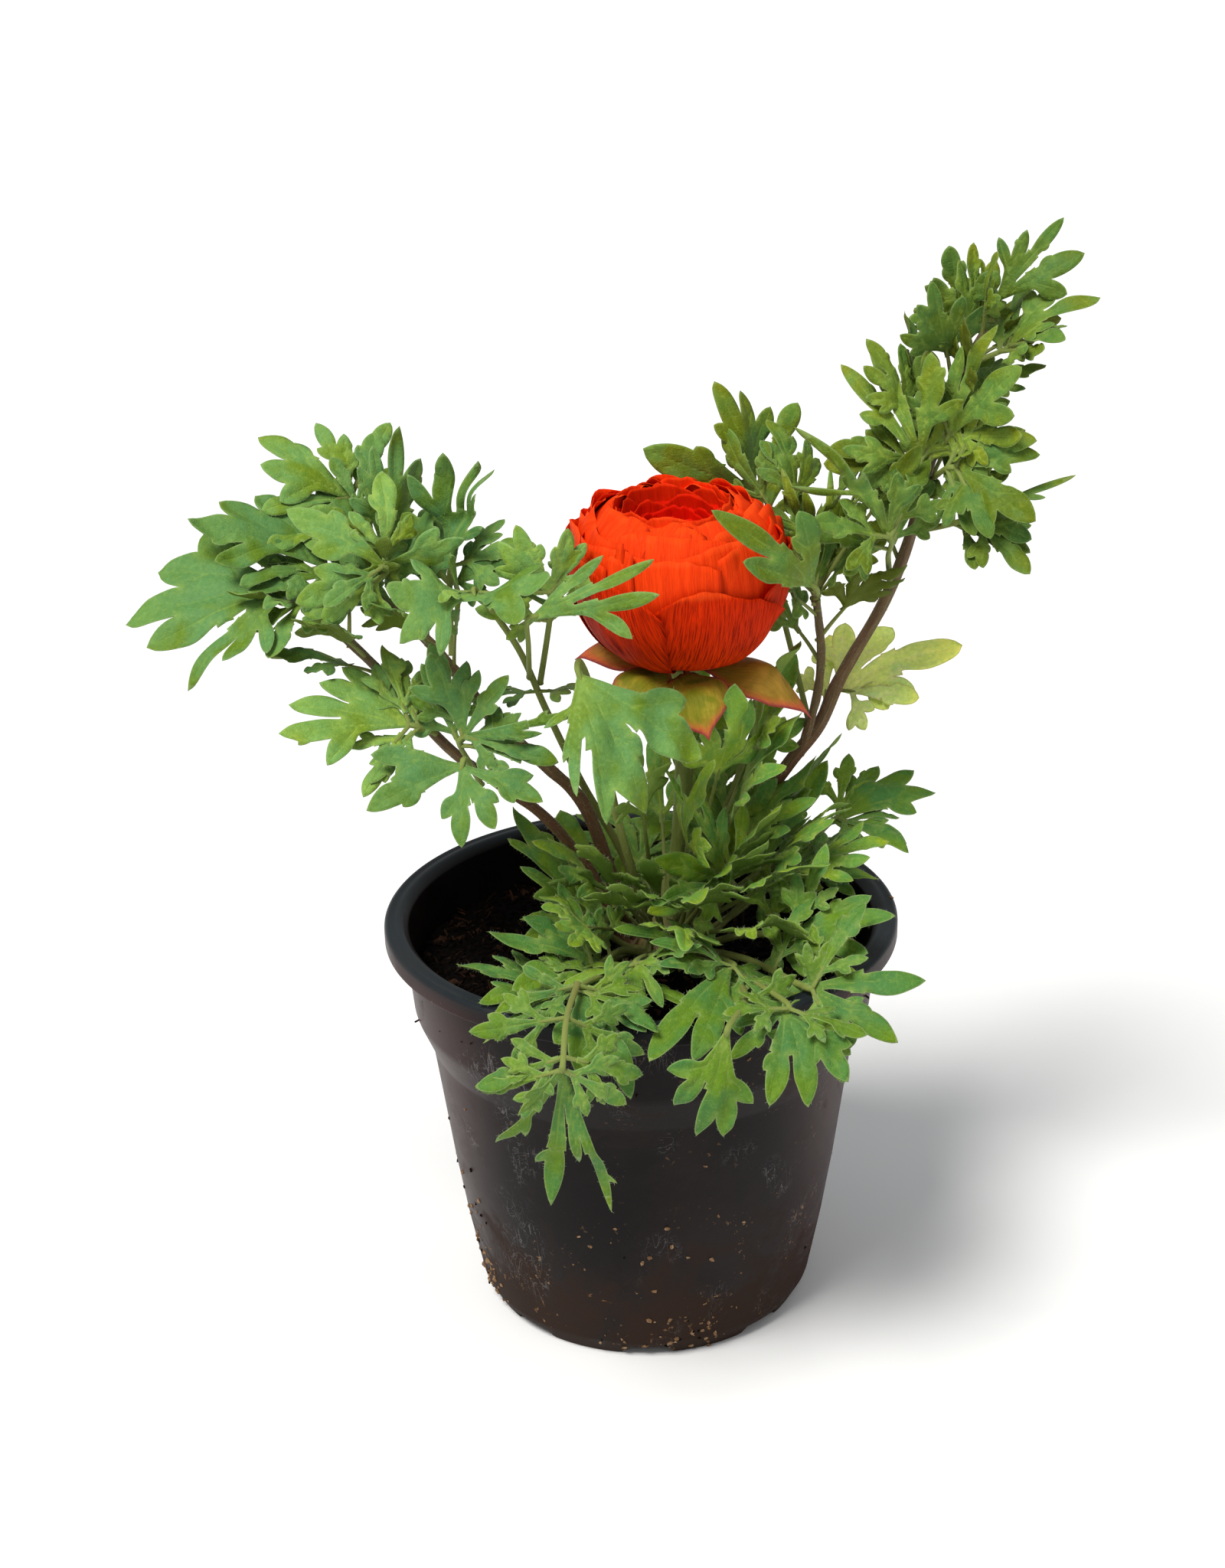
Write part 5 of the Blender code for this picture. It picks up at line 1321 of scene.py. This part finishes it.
# Small leaves round the crown: direction and steepness in degrees, stalk and blade lengths.
YOUNG_ROSETTE = (
    (-95, 52, 17, 22), (-60, 48, 21, 24), (-30, 52, 22, 25), (0, 50, 26, 25), (30, 56, 28, 24),
    (62, 52, 30, 23), (-125, 48, 21, 23), (-150, 45, 21, 21), (100, 50, 26, 22), (-78, 36, 26, 23),
    (-45, 34, 28, 24), (-12, 38, 30, 24), (20, 40, 34, 24), (-110, 36, 27, 22), (45, 62, 42, 25),
    (-20, 66, 36, 25), (-70, 66, 30, 24), (-50, 20, 34, 20), (-88, 24, 31, 20), (-118, 22, 34, 19),
    (78, 66, 42, 23), (-5, 24, 34, 21), (12, 68, 48, 25), (-40, 74, 44, 22), (-100, 70, 38, 20),
)  # fmt: skip
# Small leaves on the shoots: place along the stem, turn round it in degrees, stalk and blade lengths, tips.
YOUNG_SHOOT = {
    "stem_left_upper": ((0.74, 95, 9, 20, 3), (0.8, 180, 9, 20, 5), (0.86, 330, 9, 20, 3),
        (0.9, 80, 8, 19, 5), (0.95, 200, 7, 18, 3), (0.99, 120, 6, 18, 5), (0.84, 60, 12, 20, 3)),
    "stem_left_lower": ((0.74, 250, 9, 18, 3), (0.8, 170, 8, 19, 5), (0.87, 60, 8, 18, 3),
        (0.93, 300, 7, 18, 5), (0.98, 200, 7, 17, 3)),
    "stem_right": ((0.57, 100, 12, 17, 3), (0.64, 130, 13, 18, 3), (0.7, 250, 11, 18, 3),
        (0.75, 90, 13, 19, 5), (0.79, 150, 12, 18, 3), (0.83, 300, 10, 18, 3), (0.87, 75, 11, 19, 5),
        (0.91, 200, 9, 18, 3), (0.95, 110, 9, 17, 3), (0.99, 60, 7, 16, 3), (0.93, 280, 9, 17, 3),
        (0.81, 45, 13, 18, 3), (0.6, 170, 20, 19, 5), (0.67, 160, 20, 19, 3)),
    "stem_right_side": ((0.55, 40, 10, 18, 3), (0.68, 170, 10, 19, 5), (0.8, 280, 9, 18, 3),
        (0.88, 60, 10, 19, 5), (0.94, 200, 12, 19, 5), (0.98, 90, 12, 20, 3), (0.99, 330, 13, 20, 5),
        (0.99, 60, 22, 20, 5), (0.97, 20, 25, 20, 3), (0.95, 120, 24, 20, 5), (0.99, 150, 26, 19, 3)),
}  # fmt: skip


def build_sepals(materials):
    made = []
    calyx = np.array((0.0, 0.0, CALYX_TOP))
    for number, (name, (foot, tip, width)) in enumerate(SEPALS.items()):
        rng = np.random.default_rng(60 + number)
        foot, tip = calyx + foot, calyx + tip
        outward = unit(np.array((foot[0] - FLOWER[0], foot[1] - FLOWER[1], 0.0)))
        shape = Shape()
        warm = {"sepal_2": 0.55, "sepal_4": 1.0}.get(name, 0.0)
        heel = foot + outward * 1.2 + UP * 0.4
        add_blade(shape, heel, [tip], 0.0, width * 0.98, "plain", rng, 0.3, -0.12, number * 0.2, warm, 0.5)
        sepal = shape.mesh(f"fine_{name}", [materials["sepal"]])
        add_hair(sepal, materials, 0.5e6, 0.0007, 80 + number)
        made.append((sepal, [name], "sepal"))
    return made


# ---- flower ----
def petal_line(outline):
    """The curve through points of radius and height, and how far along it each of its points lies."""
    line = smooth_path([(r, 0.0, z) for r, z in outline], 8)[:, [0, 2]]
    return line, np.append(0, np.cumsum(np.linalg.norm(np.diff(line, axis=0), axis=1)))


def settle(points):
    """The flower leans back a little: the rim is lower in front, and the hollow sits left of the middle."""
    points = np.array(points, float)
    high = np.clip((points[:, 2] - 22) / 22, 0, 1)
    points[:, 0] -= 1.8 * high**2
    points[:, 2] += 0.075 * points[:, 1] * high + 0.4 * high
    return points + (FLOWER[0], FLOWER[1], CALYX_TOP)


def add_petal(
    shape, line, number, rng, turn, spread, reach, inset, curl, ruffle, deep=0.0, point=0.0, square=0.13
):  # fmt: skip
    """A cupped petal: a closed thin sheet that follows the line up to a ragged rim."""
    rows, columns = PETAL_ROWS, PETAL_COLUMNS
    curve, gone = line
    slow, quick, side_wave = ripple(rng, 3, 1.0, 3.2), ripple(rng, 5, 9, 30), ripple(rng, 4, 2, 5)
    u = np.linspace(-1, 1, columns)
    top = gone[-1] * reach * (1 - square * np.abs(u) ** 3 - point * np.abs(u))
    top = np.minimum(top + ruffle * (0.9 * slow(u * 2) + 0.22 * quick(u)), gone[-1])
    v = np.linspace(0.0, 1.0, rows) ** 0.85
    s = v[:, None] * top[None]
    r, z = np.interp(s, gone, curve[:, 0]), np.interp(s, gone, curve[:, 1])
    ahead = np.minimum(s + 0.4, gone[-1])
    dr = np.interp(ahead, gone, curve[:, 0]) - np.interp(ahead - 0.8, gone, curve[:, 0])
    dz = np.interp(ahead, gone, curve[:, 1]) - np.interp(ahead - 0.8, gone, curve[:, 1])
    long = np.maximum(1e-6, np.hypot(dr, dz))
    near_rim = np.clip((v[:, None] - 0.82) / 0.18, 0, 1) ** 2
    push = -inset * np.clip(v[:, None] * 3, 0, 1) + curl * near_rim * (0.6 + 0.6 * slow(u * 3 + 1)[None])
    push = push + 0.6 * u[None] + 0.22 * side_wave(u * 3 + 2)[None] * v[:, None]
    push = push + 0.12 * quick(u * 0.6)[None] * v[:, None]
    r, z = r + push * dz / long, z - push * dr / long
    angle = np.radians(turn + spread * u)[None] + 0 * r
    sheet = np.stack([r * np.cos(angle), r * np.sin(angle), z], axis=2)
    outward = np.cross(np.gradient(sheet, axis=1), np.gradient(sheet, axis=0))
    outward /= np.maximum(1e-9, np.linalg.norm(outward, axis=2, keepdims=True))
    half = PETAL_THICK / 2 * (1 - 0.6 * near_rim)[..., None]
    outer, inner = sheet + outward * half, sheet - outward * half
    points = settle(np.vstack([outer.reshape(-1, 3), inner.reshape(-1, 3)]))
    n, faces = rows * columns, []
    for i in range(rows - 1):
        for j in range(columns - 1):
            a = i * columns + j
            faces.append((a, a + 1, a + 1 + columns, a + columns))
            faces.append((a + n, a + columns + n, a + 1 + columns + n, a + 1 + n))
    rim = [*range(columns), *(i * columns + columns - 1 for i in range(1, rows))]
    rim += [(rows - 1) * columns + j for j in range(columns - 2, -1, -1)]
    rim += [i * columns for i in range(rows - 2, 0, -1)]
    faces += [(b, a, a + n, b + n) for a, b in zip(rim, rim[1:] + rim[:1])]
    wide = np.radians(spread) * u[None] * np.maximum(r, 6)
    grain = np.stack([wide, s, np.full_like(s, 9.0 * number)], axis=2).reshape(-1, 3)
    along = (s / gone[-1] / reach).reshape(-1)
    # How far from the petal's side edges, where the material paints the shadow of the overlapping petals.
    side = (np.radians(spread) * (1 - np.abs(u))[None] * np.maximum(r, 6)).reshape(-1)
    # Painted shade: the inner face is painted darker than the outer one, on top of how deep the petal sits.
    shade = np.clip(np.repeat((deep, deep + 0.25), n), 0, 1)
    shape.add(list(points), faces, 0, grain=[tuple(g) for g in both(grain)], margin=both(side),
              along=np.clip(both(along), 0, 1), deep=shade)  # fmt: skip


def build_flower(materials):
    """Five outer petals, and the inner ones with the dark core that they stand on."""
    made = []
    bud = petal_line(BUD_CURVE)
    rng = np.random.default_rng(77)
    for k, reach in enumerate((0.62, 0.7, 0.72, 0.74, 0.68)):
        shape = Shape()
        add_petal(shape, bud, k, rng, 270 + 72 * k + 18, 45, reach, 0.0, 1.1, 1.3, point=0.07)
        petal = shape.mesh(f"outer_petal_{k + 1}", [materials["outer petal"]])
        made.append((petal, [f"petal_outer_{k + 1}"], "petal"))
    heart = Shape()
    number = 10
    # Layers of petals from the outside: count, reach, inset, half spread and first direction in degrees.
    layers = ((5, 0.765, 1.5, 44, 252), (4, 0.81, 2.0, 54, 286), (5, 0.86, 2.5, 44, 262),
              (4, 0.905, 2.9, 54, 240), (4, 0.95, 3.3, 54, 282), (4, 0.99, 3.7, 56, 228))  # fmt: skip
    for count, reach, inset, spread, first in layers:
        for k in range(count):
            turn = first + 360 / count * k + rng.uniform(-6, 6)
            add_petal(heart, bud, number, rng, turn, spread, reach + rng.uniform(-0.015, 0.015),
                      inset + rng.uniform(-0.15, 0.15), rng.uniform(0.9, 1.7), 1.3, square=0.05)  # fmt: skip
            number += 1
    dome = ((0.0, 33.0), (6.0, 33.6), (11.0, 37.0), (15.0, 39.5), (19.0, 38.5), (22.0, 33.0), (22.5, 24.0),
            (0.0, 22.0))  # fmt: skip
    dome = smooth_path([(r, 0, z) for r, z in dome], 4)
    around = [2 * math.pi * k / 48 for k in range(48)]
    profile = [(float(d[0]), float(d[2])) for d in reversed(dome)]
    core, sides = turned(profile, around, lambda r, z, a: (r * math.cos(a), r * math.sin(a), z))
    core = settle(core)
    # The core is painted almost as dark as the deepest petals: partly deep red, partly painted shade in the
    # hollow.
    heart.add(list(core), sides, 0, grain=[tuple(c) for c in core], along=0.7, deep=0.95, margin=3.0)
    # Rings of petals in the hollow: count, radius and height of the rim, half spread, and how dark they are
    # painted, partly deep red and partly painted shade.
    rings = ((5, 13.6, 43.6, 50, 0.15), (5, 12.2, 42.6, 52, 0.35), (5, 10.4, 40.6, 54, 0.6),
             (4, 8.4, 38.6, 60, 0.75), (4, 6.4, 36.8, 62, 0.85), (3, 4.4, 35.4, 76, 0.95),
             (3, 2.4, 34.4, 86, 1.0))  # fmt: skip
    for ring, (count, wide, rim, spread, deep) in enumerate(rings):
        outline = ((wide * 0.55, rim - 20), (wide * 0.95, rim - 13), (wide * 1.06, rim - 6), (wide, rim))
        line = petal_line(outline)
        for k in range(count):
            turn = 31 * ring + 360 / count * k + rng.uniform(-8, 8)
            add_petal(heart, line, number, rng, turn, spread, 0.97 + rng.uniform(-0.05, 0.03), 0.0,
                      rng.uniform(-0.3, 0.5), 0.8, deep)  # fmt: skip
            number += 1
    flower = heart.mesh("inner_petals", [materials["inner petal"]])
    made.append((flower, ["petal_heart"], "petal"))
    return made


# ---- the whole ----
def put(name, data, place, *axes):
    """Adds a light or a camera at a place, with its own three axes turned to these."""
    made = bpy.data.objects.new(name, data)
    bpy.context.scene.collection.objects.link(made)
    turn = Matrix(np.column_stack(axes).tolist()).to_4x4()
    made.matrix_world = Matrix.Translation(place.tolist()) @ turn
    return made


def build_stage(materials):
    mesh = bpy.data.meshes.new("studio_floor")
    wide = 9.0
    corners = [(-wide, -wide, 0), (wide, -wide, 0), (wide, wide, 0), (-wide, wide, 0)]
    mesh.from_pydata(corners, [], [(0, 1, 2, 3)])
    mesh.materials.append(materials["pale floor"])
    floor = bpy.data.objects.new("studio_floor", mesh)
    bpy.context.scene.collection.objects.link(floor)

    world = bpy.data.worlds.new("studio")
    bpy.context.scene.world = world
    world.use_nodes = True
    world.node_tree.nodes["Background"].inputs[0].default_value = (0.97, 0.985, 1.0, 1)
    world.node_tree.nodes["Background"].inputs[1].default_value = 0.45

    sun = bpy.data.lights.new("soft_key", "SUN")
    sun.energy, sun.angle, sun.color = 3.3, math.radians(24), (1.0, 0.985, 0.95)
    lamp = bpy.data.objects.new("soft_key", sun)
    bpy.context.scene.collection.objects.link(lamp)
    lamp.rotation_euler = (math.radians(24), math.radians(-22), 0.0)
    fill = bpy.data.lights.new("fill", "AREA")
    fill.shape, fill.size, fill.energy, fill.color = "DISK", 1.1, 1.2, (0.95, 0.98, 1.0)
    place = np.array((1.1, -0.7, 0.7))
    away = unit(place - (0, 0, 0.14))
    side = unit(np.cross(UP, away))
    put("fill", fill, place, side, np.cross(away, side), away)


def build_camera():
    """Looks down at the plant from in front, from a little over half a metre."""
    eye = np.array((0.0, -0.5877, 0.3838))
    pitch, yaw, roll = math.radians(22.5), math.radians(0.62), math.radians(1.2)
    level = np.array((-math.sin(yaw), math.cos(yaw), 0.0))
    forward = level * math.cos(pitch) - UP * math.sin(pitch)
    side = unit(np.cross(forward, UP))
    above = np.cross(side, forward)
    right = side * math.cos(roll) - above * math.sin(roll)
    top = side * math.sin(roll) + above * math.cos(roll)
    data = bpy.data.cameras.new("camera")
    data.lens, data.sensor_width, data.clip_start = 58.71, 36.0, 0.01
    bpy.context.scene.camera = put("camera", data, eye, right, top, -forward)
    bpy.context.scene.view_settings.view_transform = "Standard"


TREES = {shape: scatter_tree(shape) for shape in ("hair", "crumb", "fibre")}
MATERIALS = build_materials()
pieces = [
    (build_pot(MATERIALS), ["pot"], "pot_plastic"),
    (build_soil(MATERIALS), ["potting_soil"], "potting_soil"),
]
pieces += build_stems(MATERIALS)
for number, name in enumerate(LEAVES):
    slot = "old_leaf" if name == "leaf_old_yellow" else "leaf"
    pieces.append((build_leaf(name, MATERIALS, number), [name], slot))
pieces += build_sepals(MATERIALS)
pieces += build_flower(MATERIALS)
for piece in build_young_leaves(MATERIALS):
    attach(piece, "root")
for piece, nodes, slot in pieces:
    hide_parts(*nodes)
    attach(piece, "root")
build_stage(MATERIALS)
build_camera()
